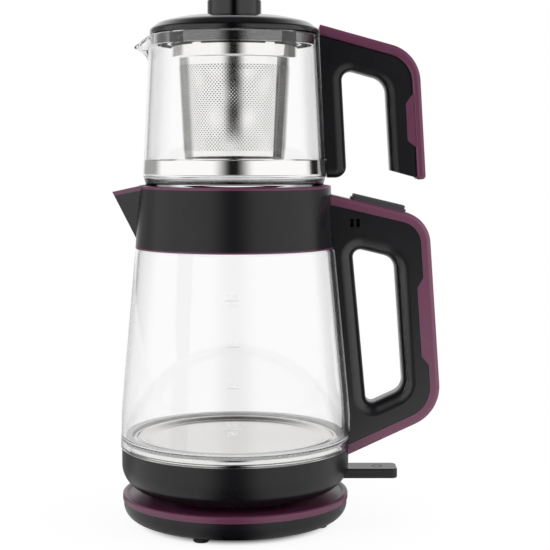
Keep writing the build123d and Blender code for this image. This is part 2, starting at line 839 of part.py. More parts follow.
with BuildPart() as heater_plate:
    groove = plate_disc_radius + plate_rise * 0.75
    add(
        turned(
            [
                (0, plate_z),
                (plate_disc_radius, plate_z),
                (groove, plate_edge_z),
                (plate_radius, plate_edge_z),
                (plate_radius, plate_edge_z + plate_thickness),
                (groove - 0.4, plate_edge_z + plate_thickness),
                (plate_disc_radius - 0.4, plate_z + plate_thickness),
                (0, plate_z + plate_thickness),
            ]
        )
    )
save(heater_plate, "heater_plate")

with BuildPart() as plate_seal:
    add(
        turned(
            [
                (seal_lip_radius, seal_bottom_z),
                (seal_radius, seal_bottom_z),
                (seal_radius, ring_top_z),
                (shell_radius, ring_top_z),
                (shell_radius, glass_bottom_z),
                (seal_lip_radius, glass_bottom_z),
                (seal_lip_radius, plate_edge_z + plate_thickness),
                (plate_radius + touch, plate_edge_z + plate_thickness),
                (plate_radius + touch, plate_edge_z),
                (seal_lip_radius, plate_edge_z),
            ]
        )
    )
save(plate_seal, "plate_seal")

with BuildPart() as clear_ring:
    add(
        turned(
            [
                (clear_ring_shelf_radius, shell_top_z),
                (clear_ring_radius, shell_top_z),
                (clear_ring_radius, ring_top_z),
                (seal_radius + touch, ring_top_z),
                (seal_radius + touch, seal_bottom_z),
                (clear_ring_shelf_radius, seal_bottom_z),
            ],
            [0, 0.4, 1.2, 0, 0, 0],
        )
    )
save(clear_ring, "clear_ring")

# ================================================================== kettle glass
glass_inner_bottom = kettle_glass_radius - kettle_glass_wall
shoulder_inner = kettle_shoulder_radius - kettle_glass_wall
neck_inner = kettle_neck_radius - kettle_glass_wall

with BuildPart() as kettle_glass:
    add(
        turned(
            [
                (glass_inner_bottom, glass_bottom_z),
                (kettle_glass_radius, glass_bottom_z),
                (kettle_glass_radius, kettle_bend_z),
                (kettle_shoulder_radius, kettle_shoulder_z),
                (kettle_neck_radius, kettle_neck_z),
                (kettle_neck_radius, kettle_glass_top),
                (neck_inner, kettle_glass_top),
                (neck_inner, kettle_neck_z - 0.8),
                (shoulder_inner, kettle_shoulder_z - 0.8),
                (glass_inner_bottom, kettle_bend_z),
            ],
            [0, 0, kettle_bend_rounding, 3.5, 2.5, 1.1, 1.1, 2.5, 3.5, kettle_bend_rounding],
        )
    )
save(kettle_glass, "kettle_glass")

with BuildPart() as glass_rim_seal:
    add(ring(neck_inner, kettle_neck_radius, kettle_glass_top, kettle_glass_top + rim_seal_height))
save(glass_rim_seal, "glass_rim_seal")

with BuildPart() as collar_trim:
    trim_outer = collar_bottom_radius + touch
    trim_bottom_z = collar_bottom_z - collar_trim_height
    add(ring(trim_outer - collar_trim_width, trim_outer, trim_bottom_z, collar_bottom_z))
save(collar_trim, "collar_trim")


# ================================================================== collar with its beak
def beak_section(height, wall):
    """Level cut of the beak: a wedge with a rounded nose, pulled in by a wall thickness."""
    flare_angle = math.atan(spout_flare)
    tip = -(spout_tip_reach - spout_rake * (collar_top_z - 1.0 - height)) + wall / math.sin(flare_angle)
    back = -(mouth_radius - 3.5)
    half_width = (back - tip) * spout_flare
    nose = spout_nose if wall == 0 else spout_nose * 0.5
    return plan_profile([(back, half_width), (tip, 0), (back, -half_width)], height, [0, nose, 0])


def beak(bottom, top, wall=0.0):
    """Wedge of the beak between two heights."""
    with BuildPart() as wedge:
        loft([beak_section(bottom, wall), beak_section(top, wall)], ruled=True)
    return wedge.part


def below_slope(piece, height):
    """What lies under the sloping plane that passes a height above the beak's root."""
    root = (-(collar_top_radius - 3.4), 0, height)
    slope = math.radians(spout_slope)
    plane = Plane(origin=root, x_dir=(0, 1, 0), z_dir=(-math.sin(slope), 0, math.cos(slope)))
    with BuildPart() as lower:
        add(piece)
        split(bisect_by=plane, keep=Keep.BOTTOM)
    return lower.part


flange_bottom_z = kettle_glass_top + rim_seal_height
beak_top_z = rim_z + 3.0
collar_skirt_inner = kettle_neck_radius + 0.5
collar_root = turned(
    [
        (0, spout_bottom_z - 5.0),
        (collar_at(spout_bottom_z - 5.0) - 1.2, spout_bottom_z - 5.0),
        (collar_at(beak_top_z) - 1.2, beak_top_z),
        (0, beak_top_z),
    ]
)
beak_outside = beak(spout_bottom_z, beak_top_z)
beak_channel = beak(spout_floor_z, beak_top_z, spout_wall)
under_bridge = ring(0, spout_tip_reach + 5.0, spout_floor_z, lid_flange_z)
past_bridge = ring(collar_top_radius + 0.4, spout_tip_reach + 5.0, lid_flange_z, beak_top_z)
open_channel = (beak_channel & under_bridge) + (beak_channel & past_bridge)
beak_black = below_slope(beak_outside, rim_z - spout_trim_height) - collar_root

catch_top_z = catch_bottom_z + catch_height
collar_screw_z = catch_top_z
collar_screw_points = [(mouth_radius + small_head_height, y, collar_screw_z) for y in (-10.2, 10.2)]
filter_bottom_z = spout_floor_z - 0.6
filter_top_z = lid_flange_z - 1.6
filter_inner = mouth_radius + touch

with BuildPart() as collar:
    add(
        turned(
            [
                (mouth_radius, flange_bottom_z),
                (collar_skirt_inner, flange_bottom_z),
                (collar_skirt_inner, kettle_neck_z + 1.4),
                (trim_outer - collar_trim_width, collar_bottom_z),
                (collar_bottom_radius, collar_bottom_z),
                (collar_top_radius, collar_top_z),
                (lid_ledge_radius, collar_top_z),
                (lid_ledge_radius, lid_flange_z - lid_seal_height),
                (mouth_radius, lid_flange_z - lid_seal_height),
            ]
        )
    )
    add(beak_black)
    add(open_channel, mode=Mode.SUBTRACT)
    # rebate in the mouth that holds the spout filter
    rebate_outer = filter_inner + filter_thickness + touch
    rebate_bottom = filter_bottom_z - touch
    rebate_top = filter_top_z + touch
    rebate = ring_sector(mouth_radius - 1.0, rebate_outer, rebate_bottom, rebate_top, 180.0, filter_arc + 0.2)
    add(rebate, mode=Mode.SUBTRACT)
    # slot for the lid catch, steam inlet, and counterbored holes for the two handle screws
    with BuildSketch(Plane.YZ.offset(mouth_radius - 2.0)) as wall_holes:
        with Locations((0, (catch_bottom_z + catch_top_z) / 2)):
            Rectangle(2 * (catch_half_width + running_play), catch_height + 2 * running_play)
        with Locations((0, steam_hole_z)):
            Circle(steam_hole_radius)
        with Locations(*[(y, z) for _, y, z in collar_screw_points]):
            Circle(small_screw_radius + screw_play)
    extrude(amount=12.0, mode=Mode.SUBTRACT)
    with BuildSketch(Plane.YZ.offset(mouth_radius - 3.0)) as head_bores:
        with Locations(*[(y, z) for _, y, z in collar_screw_points]):
            Circle(small_head_radius + slip)
    extrude(amount=3.0 + small_head_height, mode=Mode.SUBTRACT)
save(collar, "collar")

rim_trim_inner = lid_ledge_radius
with BuildPart() as collar_rim:
    add(
        turned(
            [
                (rim_trim_inner, collar_top_z),
                (collar_top_radius, collar_top_z),
                (collar_top_radius, rim_z),
                (rim_trim_inner, rim_z),
            ],
            [0, 0, 0.9, 0.4],
        )
    )
    trim_band = below_slope(beak_outside, rim_z) - below_slope(beak_outside, rim_z - spout_trim_height)
    collar_below = ring(0, collar_top_radius + touch, spout_bottom_z, collar_top_z)
    mouth_above = ring(0, collar_top_radius - 0.8, collar_top_z, beak_top_z)
    add(trim_band - beak_channel - collar_below - mouth_above)
save(collar_rim, "collar_rim")

with BuildPart() as spout_filter:
    filter_outer = filter_inner + filter_thickness
    add(ring_sector(filter_inner, filter_outer, filter_bottom_z, filter_top_z, 180.0, filter_arc))
    slot_height = filter_top_z - filter_bottom_z - 4.0
    slot_pitch = 2 * (filter_arc - 8.0) / (filter_slot_count - 1)
    for index in range(filter_slot_count):
        angle = 180.0 + (index - (filter_slot_count - 1) / 2) * slot_pitch
        with BuildSketch(radial_plane(angle)) as slit:
            with Locations((0, (filter_bottom_z + filter_top_z) / 2)):
                SlotOverall(slot_height, filter_slot_width, rotation=90)
        extrude(amount=mouth_radius + 5.0, mode=Mode.SUBTRACT)
save(spout_filter, "spout_filter")

# ================================================================== kettle lid
lid_vents = [(0, 0)] + around(lid_vent_count, lid_vent_circle)
lid_screw_points = around(lid_screw_count, lid_screw_circle, 90.0)
lid_skirt_inner = lid_skirt_radius - lid_skirt_wall
lid_underside_z = lid_top_z - lid_seat_depth - lid_top_thickness
inner_plate_radius = lid_skirt_inner - slip
inner_plate_top = lid_skirt_bottom + 1.0 + inner_plate_height

with BuildPart() as kettle_lid:
    add(
        turned(
            [
                (0, lid_underside_z),
                (lid_skirt_inner, lid_underside_z),
                (lid_skirt_inner, lid_skirt_bottom),
                (lid_skirt_radius, lid_skirt_bottom),
                (lid_skirt_radius, lid_flange_z),
                (lid_ledge_radius - lid_flange_play, lid_flange_z),
                (lid_ledge_radius - lid_flange_play, lid_top_z),
                (lid_seat_outer, lid_top_z),
                (lid_seat_outer, teapot_foot_z),
                (lid_seat_inner, teapot_foot_z),
                (lid_seat_inner, lid_top_z),
                (0, lid_top_z),
            ]
        )
    )
    with BuildSketch(Plane.XY.offset(lid_skirt_bottom)) as pour_gap:
        with Locations((-lid_skirt_radius, 0)):
            Rectangle(2 * lid_skirt_wall + 6.0, 40.0)
    extrude(amount=lid_underside_z - lid_skirt_bottom, mode=Mode.SUBTRACT)
    with BuildSketch(Plane.XY.offset(inner_plate_top)) as lid_bosses:
        with Locations(*lid_screw_points):
            Circle(small_screw_radius + 2.0)
    extrude(amount=lid_underside_z - inner_plate_top)
    with BuildSketch(Plane.XY.offset(inner_plate_top)) as lid_bores:
        with Locations(*lid_screw_points):
            Circle(small_screw_radius + screw_play)
    extrude(amount=10.0, mode=Mode.SUBTRACT)
    with BuildSketch(Plane.XY.offset(lid_skirt_bottom)) as vents:
        with Locations(*lid_vents):
            Circle(lid_vent_radius)
    extrude(amount=lid_top_z, mode=Mode.SUBTRACT)
    # steam port towards the handle, and the groove that the catch drops into
    with BuildSketch(Plane.YZ.offset(lid_skirt_inner - 3.0)) as steam_port:
        with Locations((0, steam_hole_z)):
            Circle(steam_hole_radius)
    extrude(amount=12.0, mode=Mode.SUBTRACT)
    with BuildSketch(Plane.YZ.offset(catch_nose_reach - running_play)) as catch_groove:
        with Locations((0, (catch_bottom_z + catch_top_z) / 2)):
            Rectangle(2 * catch_half_width + 2.0, catch_height + 2 * running_play)
    extrude(amount=10.0, mode=Mode.SUBTRACT)
save(kettle_lid, "kettle_lid")

with BuildPart() as kettle_lid_plate:
    with BuildSketch(Plane.XY.offset(inner_plate_top - inner_plate_height)) as plate_disc:
        Circle(inner_plate_radius)
        with Locations((-lid_skirt_radius, 0)):
            Rectangle(2 * lid_skirt_wall + 6.0, 40.0, mode=Mode.SUBTRACT)
        with Locations(*lid_vents):
            Circle(lid_vent_radius, mode=Mode.SUBTRACT)
        with Locations(*lid_screw_points):
            Circle(small_screw_radius + screw_play, mode=Mode.SUBTRACT)
    extrude(amount=inner_plate_height)
save(kettle_lid_plate, "kettle_lid_plate")

with BuildPart() as kettle_lid_screws:
    for x, y in lid_screw_points:
        add(screw((x, y, inner_plate_top - inner_plate_height), (0, 0, 1), lid_screw_length))
save(kettle_lid_screws, "kettle_lid_screws")

with BuildPart() as kettle_lid_seal:
    add(
        ring(lid_skirt_radius + lid_skirt_play + touch, lid_ledge_radius - lid_flange_play,
             lid_flange_z - lid_seal_height, lid_flange_z)
    )
save(kettle_lid_seal, "kettle_lid_seal")

# ================================================================== kettle handle
handle_path = [handle_top_left, handle_top_right, handle_bottom_right, handle_bottom_left]
cover_path = inset(handle_path, cover_depth, cover_depth, cover_depth)
grip_path = inset(handle_path, cover_depth + seam, cover_depth + seam, cover_depth + seam)
cover_bends = [handle_top_bend - cover_depth, handle_bottom_bend - cover_depth]
hand_path = inset(handle_path, hand_top_depth, hand_side_depth, hand_bottom_depth)
post_line = [
    (kettle_glass_at(z) + post_gap + post_depth, z) for z in (glass_bottom_z, kettle_shoulder_z)
]


def meet(first, second):
    """Crossing point of two lines of the XZ plane, each given by two points."""
    (a, b), (c, d) = first, second
    u = (b[0] - a[0], b[1] - a[1])
    v = (d[0] - c[0], d[1] - c[1])
    travel = ((c[0] - a[0]) * v[1] - (c[1] - a[1]) * v[0]) / (u[0] * v[1] - u[1] * v[0])
    return (a[0] + u[0] * travel, a[1] + u[1] * travel)


hand_opening = [
    meet(post_line, hand_path[0:2]),
    hand_path[1],
    hand_path[2],
    meet(post_line, hand_path[2:4]),
]
hand_bends = [5.0, 11.0, 10.0, 4.5]

# what the kettle's body takes away from the handle: shell, clear ring, glass with its gap, collar
kettle_keepout = turned(
    [
        (0, shell_top_z - 15.0),
        (shell_radius + touch, shell_top_z - 15.0),
        (shell_radius + touch, shell_top_z - touch),
        (clear_ring_radius + touch, shell_top_z - touch),
        (clear_ring_radius + touch, ring_top_z + 1.0),
        (kettle_glass_radius + post_gap, ring_top_z + 3.0),
        (kettle_glass_radius + post_gap, kettle_bend_z),
        (kettle_shoulder_radius + post_gap, kettle_shoulder_z),
        (trim_outer + touch, collar_bottom_z - collar_trim_height - touch),
        (trim_outer + touch, collar_bottom_z),
        (collar_at(collar_top_z) + touch, collar_top_z),
        (collar_at(collar_top_z) + touch, collar_top_z + 20.0),
        (0, collar_top_z + 20.0),
    ]
)


def pad_outline(path, depth, depth_full, top, bottom):
    """Outline of the thicker stretch of a cover on the run from path[1] to path[2]."""
    shallow = inset(path, *[depth - 1.0] * (len(path) - 1))
    start = inset(path, *[depth] * (len(path) - 1))
    full = inset(path, *[depth_full] * (len(path) - 1))
    return [
        on_line(shallow[1], shallow[2], top[0]),
        on_line(start[1], start[2], top[0]),
        on_line(full[1], full[2], top[1]),
        on_line(full[1], full[2], bottom[0]),
        on_line(start[1], start[2], bottom[1]),
        on_line(shallow[1], shallow[2], bottom[1]),
    ]


press = inset(handle_path[0:2], 1.0)
press_direction = (press[0][0] - handle_path[0][0], 0, press[0][1] - handle_path[0][1])
lift_direction = (-press_direction[0], 0, -press_direction[2])
along_top = (-press_direction[2], 0, press_direction[0])


def top_plane(x, depth):
    """Plane parallel to the handle's top, a depth below its surface, centred at an x of the surface."""
    surface = at_x(handle_top_left, handle_top_right, x)
    origin = (x + press_direction[0] * depth, 0, surface[1] + press_direction[2] * depth)
    return Plane(origin=origin, x_dir=along_top, z_dir=lift_direction)


tab_length = (tab_right - tab_left) / along_top[0]
tab_middle = (tab_left + tab_right) / 2
foot_block = [
    at_x(handle_path[3], handle_path[2], shell_radius - 4.0),
    at_x(handle_path[3], handle_path[2], fork_reach),
    at_x(grip_path[3], grip_path[2], fork_reach),
    at_x(grip_path[3], grip_path[2], shell_radius - 4.0),
]
post_middle = post_gap + post_depth / 2
steam_mouth = (kettle_glass_at(steam_tube_top) + post_middle, steam_tube_top)
steam_foot = (kettle_glass_at(shell_top_z) + post_middle, shell_top_z)
steam_exit = (shell_radius - hook_reach - 1.0, hook_middle_z)
steam_turn = (shell_radius + 0.5, hook_middle_z)
foot_slope = (handle_path[2][1] - handle_path[3][1]) / (handle_path[2][0] - handle_path[3][0])
steam_rise = (steam_turn[0] + 1.0, steam_turn[1] + foot_slope)
steam_corner = meet([steam_mouth, steam_foot], [steam_turn, steam_rise])


def steam_pipe(radius):
    """Round bar along the steam tube's route: down the handle's post and through its foot into the shell."""
    with BuildPart() as pipe:
        with BuildLine(Plane.XZ) as route:
            FilletPolyline(steam_mouth, steam_corner, steam_turn, steam_exit, radius=steam_tube_bend)
        with BuildSketch(Plane(origin=route.line @ 0, z_dir=route.line % 0)):
            Circle(radius)
        sweep(path=route.line)
    return pipe.part


foot_hook = [
    (shell_radius + 1.0, hook_bottom_z),
    (shell_radius + 1.0, shell_top_z - touch),
    (shell_radius - hook_reach, shell_top_z - touch),
    (shell_radius - hook_reach, hook_bottom_z - hook_drop),
    (hook_inside_x, hook_bottom_z - hook_drop),
    (hook_inside_x, hook_bottom_z),
]
cavity_left = collar_at(catch_top_z) + 6.0
cavity_outline = [
    at_x(*handle_path[0:2], cavity_left),
    at_x(*handle_path[0:2], cavity_right),
    at_x(*inset(handle_path[0:2], cavity_floor_depth), cavity_right),
    at_x(*inset(handle_path[0:2], cavity_floor_depth), cavity_left),
]
handle_half = handle_width / 2
hand_low = (hand_opening[3][0] - 9.0, hand_opening[3][1] - 1.0)
hand_high = (hand_opening[2][0] + 1.0, hand_opening[0][1] + 1.0)
spring_pocket_radius = button_spring_radius + 1.0
spring_pocket_depth = 12.0
catch_middle_z = (catch_bottom_z + catch_top_z) / 2

with BuildPart() as handle_grip:
    extrude(
        side_profile(grip_path, [0, cover_bends[0] - seam, cover_bends[1] - seam, 0]),
        amount=handle_half,
        both=True,
    )
    pad = pad_outline(handle_path, cover_depth, cover_pad_depth + seam, cover_pad_top, cover_pad_bottom)
    extrude(side_profile(pad), amount=handle_half, both=True, mode=Mode.SUBTRACT)
    extrude(side_profile(hand_opening, hand_bends), amount=handle_half, both=True, mode=Mode.SUBTRACT)
    side_edges = handle_grip.edges().filter_by(lambda e: abs(abs(e.center().Y) - handle_half) < 0.01)
    finger_edges = side_edges.filter_by(
        lambda e: hand_low[0] < e.center().X < hand_high[0] and hand_low[1] < e.center().Z < hand_high[1]
    )
    fillet(finger_edges, grip_round)
    extrude(side_profile(foot_block), amount=fork_half_width, both=True)
    add(kettle_keepout, mode=Mode.SUBTRACT)
    extrude(side_profile(foot_hook), amount=fork_half_width, both=True)
    extrude(side_profile(cavity_outline), amount=cavity_half_width, both=True, mode=Mode.SUBTRACT)
    add(steam_pipe(steam_tube_radius + touch), mode=Mode.SUBTRACT)
    # steam vents through both side walls of the cavity
    with BuildSketch(Plane.XZ) as vent_slots:
        for x in vent_positions:
            with Locations((x, vent_height)):
                Rectangle(1.4 * vent_radius, vent_pitch)
            with Locations((x, vent_height - vent_pitch / 2), (x, vent_height + vent_pitch / 2)):
                Circle(vent_radius)
    extrude(amount=handle_half, both=True, mode=Mode.SUBTRACT)
    # passage of the lid catch and bores of the two screws from the collar
    with BuildSketch(Plane.YZ.offset(collar_top_radius - 1.0)) as grip_bores:
        with Locations((0, catch_middle_z)):
            Rectangle(2 * (catch_half_width + running_play), catch_height + 2 * running_play)
        with Locations(*[(y, z) for _, y, z in collar_screw_points]):
            Circle(small_screw_radius + screw_play)
    extrude(amount=13.0, mode=Mode.SUBTRACT)
    # pocket of the button's return spring and blind bore of its guide pin
    with BuildSketch(top_plane(guide_x, spring_pocket_depth)) as spring_pocket:
        Circle(spring_pocket_radius)
    extrude(amount=spring_pocket_depth, mode=Mode.SUBTRACT)
    with BuildSketch(top_plane(guide_x, spring_pocket_depth)) as guide_bore:
        Circle(guide_radius + running_play)
    extrude(amount=-guide_length, mode=Mode.SUBTRACT)
save(handle_grip, "handle_grip")

cover_outline = [*handle_path, *reversed(cover_path)]
cover_radii = [0, handle_top_bend, handle_bottom_bend, 0, 0, cover_bends[1], cover_bends[0], 0]
channel_outline = [
    at_x(*inset(handle_path[0:2], cover_skin), cavity_left - 8.0),
    at_x(*inset(handle_path[0:2], cover_skin), channel_right),
    at_x(*inset(handle_path[0:2], cover_depth + 1.0), channel_right),
    at_x(*inset(handle_path[0:2], cover_depth + 1.0), cavity_left - 8.0),
]
fork_outline = [
    at_x(handle_path[3], handle_path[2], handle_path[3][0] - 2.0),
    at_x(handle_path[3], handle_path[2], fork_reach + seam),
    at_x(cover_path[3], cover_path[2], fork_reach + seam),
    at_x(cover_path[3], cover_path[2], handle_path[3][0] - 2.0),
]
fork_outline = [(x, z + (-2.0 if index < 2 else 2.0)) for index, (x, z) in enumerate(fork_outline)]

hand_middle_x = (hand_opening[0][0] + hand_opening[1][0]) / 2
handle_middle = Vector(hand_middle_x, 0, (hand_opening[1][1] + hand_opening[2][1]) / 2)

with BuildPart() as handle_cover:
    extrude(side_profile(cover_outline, cover_radii), amount=handle_half, both=True)
    outer_faces = handle_cover.faces().filter_by(
        lambda f: abs(f.normal_at().Y) < 0.1
        and f.normal_at().X > -0.9
        and f.normal_at().dot(f.center() - handle_middle) > 0
    )
    rim_edges = outer_faces.edges().filter_by(lambda e: abs(abs(e.center().Y) - handle_half) < 0.01)
    fillet(rim_edges, cover_round)
    pad = pad_outline(handle_path, cover_depth, cover_pad_depth, cover_pad_top, cover_pad_bottom)
    extrude(side_profile(pad), amount=handle_half, both=True)
    add(kettle_keepout, mode=Mode.SUBTRACT)
    extrude(side_profile(channel_outline), amount=cavity_half_width, both=True, mode=Mode.SUBTRACT)
    extrude(side_profile(fork_outline), amount=fork_half_width + seam, both=True, mode=Mode.SUBTRACT)
    # shallow recess below the release tab, with openings for its stem and guide pin
    with BuildSketch(top_plane(tab_middle, tab_recess)) as recess:
        RectangleRounded(tab_length + 0.8, 2 * tab_half_width + 0.8, 1.9)
    extrude(amount=tab_recess + 1.0, mode=Mode.SUBTRACT)
    with BuildSketch(top_plane(stem_x, cover_depth)) as stem_opening:
        Rectangle(stem_depth + 2 * running_play, 2 * (stem_half_width + running_play))
    extrude(amount=cover_depth, mode=Mode.SUBTRACT)
    with BuildSketch(top_plane(guide_x, cover_depth)) as guide_opening:
        Circle(guide_radius + running_play)
    extrude(amount=cover_depth, mode=Mode.SUBTRACT)
save(handle_cover, "handle_cover")

with BuildPart() as steam_tube:
    add(steam_pipe(steam_tube_radius))
    add(steam_pipe(steam_tube_radius - steam_tube_wall), mode=Mode.SUBTRACT)
save(steam_tube, "steam_tube")

with BuildPart() as handle_screws:
    for point in collar_screw_points:
        add(screw(point, (1, 0, 0), handle_screw_length))
save(handle_screws, "handle_screws")

# ================================================================== lid release
stem_top = top_plane(stem_x, 0).origin
stem_start = (stem_top.X, stem_top.Z)
stem_next = (stem_top.X + press_direction[0], stem_top.Z + press_direction[2])
stem_at_catch = on_line(stem_start, stem_next, catch_middle_z)
wedge_raw = (-press_direction[2], press_direction[0] - catch_per_press)
wedge_normal = (wedge_raw[0] / math.hypot(*wedge_raw), wedge_raw[1] / math.hypot(*wedge_raw))
wedge_point = (stem_at_catch[0] + 1.2, catch_middle_z)
stem_bottom_z = catch_bottom_z - 1.2
stem_length = (stem_top.Z - stem_bottom_z) / -press_direction[2]
wedge_gap = 0.15


def beyond_wedge(offset):
    """Large block on the catch's side of the sloping face where stem and catch meet."""
    x = wedge_point[0] + wedge_normal[0] * offset
    z = wedge_point[1] + wedge_normal[1] * offset
    along = (-wedge_normal[1], wedge_normal[0])
    reach = 15.0
    corners = [
        (x - along[0] * reach, z - along[1] * reach),
        (x + along[0] * reach, z + along[1] * reach),
        (x + (along[0] + wedge_normal[0]) * reach, z + (along[1] + wedge_normal[1]) * reach),
        (x + (wedge_normal[0] - along[0]) * reach, z + (wedge_normal[1] - along[1]) * reach),
    ]
    with BuildPart() as block:
        extrude(side_profile(corners), amount=tab_half_width, both=True)
    return block.part


with BuildPart() as release_stem:
    with BuildSketch(top_plane(stem_x, stem_length)):
        Rectangle(stem_depth, 2 * stem_half_width)
    extrude(amount=stem_length + tab_standoff)
    add(beyond_wedge(0.0), mode=Mode.SUBTRACT)

with BuildPart() as release_button:
    with BuildSketch(top_plane(tab_middle, -tab_standoff)) as tab_outline:
        RectangleRounded(tab_length, 2 * tab_half_width, 1.6)
    extrude(amount=tab_thickness)
    fillet(release_button.faces().sort_by(lambda f: f.center().dot(Vector(*lift_direction)))[-1].edges(), 0.7)
    add(release_stem.part)
    with BuildSketch(top_plane(guide_x, spring_pocket_depth + guide_length - tab_travel - 1.0)):
        Circle(guide_radius)
    extrude(amount=spring_pocket_depth + guide_length - tab_travel - 1.0 + tab_standoff)
    with BuildSketch(top_plane(guide_x, cover_skin + touch + 1.0)):
        Circle(button_spring_radius + 0.6)
    extrude(amount=1.0)
save(release_button, "release_button")

window_left = stem_at_catch[0] - stem_depth / 2 - (1 + catch_per_press) * tab_travel - 0.6
with BuildPart() as catch_window:
    with BuildSketch(Plane.XY.offset(catch_bottom_z - 1.0)):
        with Locations((window_left + 10.0, 0)):
            Rectangle(20.0, 2 * (stem_half_width + running_play))
    extrude(amount=catch_height + 2.0)
    add(beyond_wedge(wedge_gap), mode=Mode.SUBTRACT)

with BuildPart() as lid_catch:
    with BuildSketch(Plane.XY.offset(catch_bottom_z)) as catch_bar:
        with Locations(((catch_nose_reach + catch_tail_reach) / 2, 0)):
            Rectangle(catch_tail_reach - catch_nose_reach, 2 * catch_half_width)
    extrude(amount=catch_height)
    nose_edge = lid_catch.edges().filter_by(Axis.Y).group_by(Axis.X)[0].sort_by(Axis.Z)[0]
    chamfer(nose_edge, 1.2)
    add(catch_window.part, mode=Mode.SUBTRACT)
save(lid_catch, "lid_catch")


def coil(origin, direction, radius, length, turns):
    """Closed coil spring of round wire, standing on its origin."""
    pitch = (length - 2 * spring_wire_radius) / turns
    with BuildPart() as spring:
        with BuildLine() as wire_line:
            Helix(pitch=pitch, height=pitch * turns, radius=radius)
        with BuildSketch(Plane(origin=wire_line.line @ 0, z_dir=wire_line.line % 0)):
            Circle(spring_wire_radius)
        sweep(path=wire_line.line)
    return spring.part.moved(Plane(origin=origin, z_dir=direction).location)


catch_spring_length = cavity_right - catch_tail_reach
button_spring_length = spring_pocket_depth - cover_skin - touch - 1.0
with BuildPart() as catch_spring:
    add(
        coil(
            (catch_tail_reach + spring_wire_radius, 0, catch_middle_z),
            (1, 0, 0),
            catch_spring_radius,
            catch_spring_length,
            catch_spring_turns,
        )
    )
save(catch_spring, "catch_spring")

with BuildPart() as button_spring:
    spring_seat = top_plane(guide_x, spring_pocket_depth - spring_wire_radius).origin
    add(coil(spring_seat, lift_direction, button_spring_radius, button_spring_length, button_spring_turns))
save(button_spring, "button_spring")

# ================================================================== power lever
with BuildPart() as power_lever:
    lever_length = lever_reach - lever_tail_x
    with BuildSketch(Plane.XY.offset(lever_bottom_z)) as lever_outline:
        with Locations(((lever_reach + lever_tail_x) / 2, 0)):
            Rectangle(lever_length, 2 * lever_half_width)
        fillet(lever_outline.vertices().group_by(Axis.X)[-1], lever_corner)
    extrude(amount=lever_thickness)
    fillet(power_lever.edges().group_by(Axis.Z)[-1], 0.8)
    fillet(power_lever.edges().group_by(Axis.Z)[0], 0.8)
    with BuildSketch(Plane.XZ) as eye:
        with Locations((lever_pivot_x, lever_pivot_z)):
            Circle(lever_pin_radius + screw_play)
    extrude(amount=lever_half_width, both=True, mode=Mode.SUBTRACT)
    with BuildSketch(Plane.XY.offset(lever_top_z - lever_mark_depth)) as mark:
        with Locations((lever_mark_x, 0)):
            Circle(lever_mark_radius)
            Circle(lever_mark_radius - lever_mark_width, mode=Mode.SUBTRACT)
    extrude(amount=1.0, mode=Mode.SUBTRACT)
save(power_lever, "power_lever")

with BuildPart() as lever_pin:
    with BuildSketch(Plane.XZ) as pin_section:
        with Locations((lever_pivot_x, lever_pivot_z)):
            Circle(lever_pin_radius)
    extrude(amount=lever_pin_half_length, both=True)
save(lever_pin, "lever_pin")

# ================================================================== teapot
teapot_floor_z = teapot_foot_z + teapot_foot_height
belly_inner = teapot_belly_radius - teapot_glass_wall
rim_inner = teapot_rim_radius - teapot_glass_wall
band_top_z = band_bottom_z + band_height
band_outer = teapot_glass_at(band_bottom_z) + touch + band_thickness
lip_top_z = teapot_rim_z - 0.5


def lip_section(height, reach, wall):
    """Level cut of the pouring lip: a wedge with a rounded nose, pulled in by a wall thickness."""
    tip = -reach + wall / math.sin(math.atan(lip_flare))
    back = -(rim_inner - 1.5)
    half_width = (back - tip) * lip_flare
    nose = lip_nose if wall == 0 else lip_nose * 0.4
    return plan_profile([(back, half_width), (tip, 0), (back, -half_width)], height, [0, nose, 0])


def lip_wedge(wall, top):
    """Pouring lip: it grows out of the wall, is widest at its nose and leans back to the rim."""
    sections = [
        lip_section(lip_bottom_z, teapot_glass_at(lip_bottom_z) + 0.6, wall),
        lip_section(lip_nose_z, lip_reach, wall),
        lip_section(top, lip_top_reach, wall),
    ]
    with BuildPart() as wedge:
        loft(sections, ruled=True)
    return wedge.part


brim_run = lip_reach - teapot_rim_radius
brim_slope = lip_brim_drop / brim_run
above_brim = [
    (-(teapot_rim_radius - 0.3), teapot_rim_z),
    (-(lip_reach + 5.0), teapot_rim_z - (brim_run + 5.0) * brim_slope),
    (-(lip_reach + 5.0), teapot_rim_z + 5.0),
    (-(teapot_rim_radius - 0.3), teapot_rim_z + 5.0),
]

with BuildPart() as brim_block:
    extrude(side_profile(above_brim), amount=lip_reach / 2, both=True)

with BuildPart() as teapot_glass:
    add(
        turned(
            [
                (0, teapot_floor_z),
                (teapot_foot_inner, teapot_floor_z),
                (teapot_foot_inner + 0.7, teapot_foot_z),
                (teapot_foot_radius, teapot_foot_z),
                (teapot_belly_radius, teapot_belly_z),
                (teapot_rim_radius, teapot_rim_z),
                (0, teapot_rim_z),
            ],
            [0, 0.8, 0.9, 1.6, 4.0, 1.1, 0],
        )
    )
    add(lip_wedge(0.0, lip_top_z) - brim_block.part)
    add(
        turned(
            [
                (0, teapot_floor_z + teapot_floor_thickness),
                (belly_inner, teapot_floor_z + teapot_floor_thickness),
                (rim_inner, teapot_rim_z),
                (rim_inner, teapot_rim_z + 2.0),
                (0, teapot_rim_z + 2.0),
            ],
            [0, 5.0, 0, 0, 0],
        ),
        mode=Mode.SUBTRACT,
    )
    add(lip_wedge(teapot_glass_wall, teapot_rim_z + 2.0), mode=Mode.SUBTRACT)
save(teapot_glass, "teapot_glass")

band_inner_low = teapot_glass_at(band_bottom_z) + touch
band_inner_high = teapot_glass_at(band_top_z) + touch
band_tab_reach = band_outer + 7.0
band_middle_z = (band_bottom_z + band_top_z) / 2

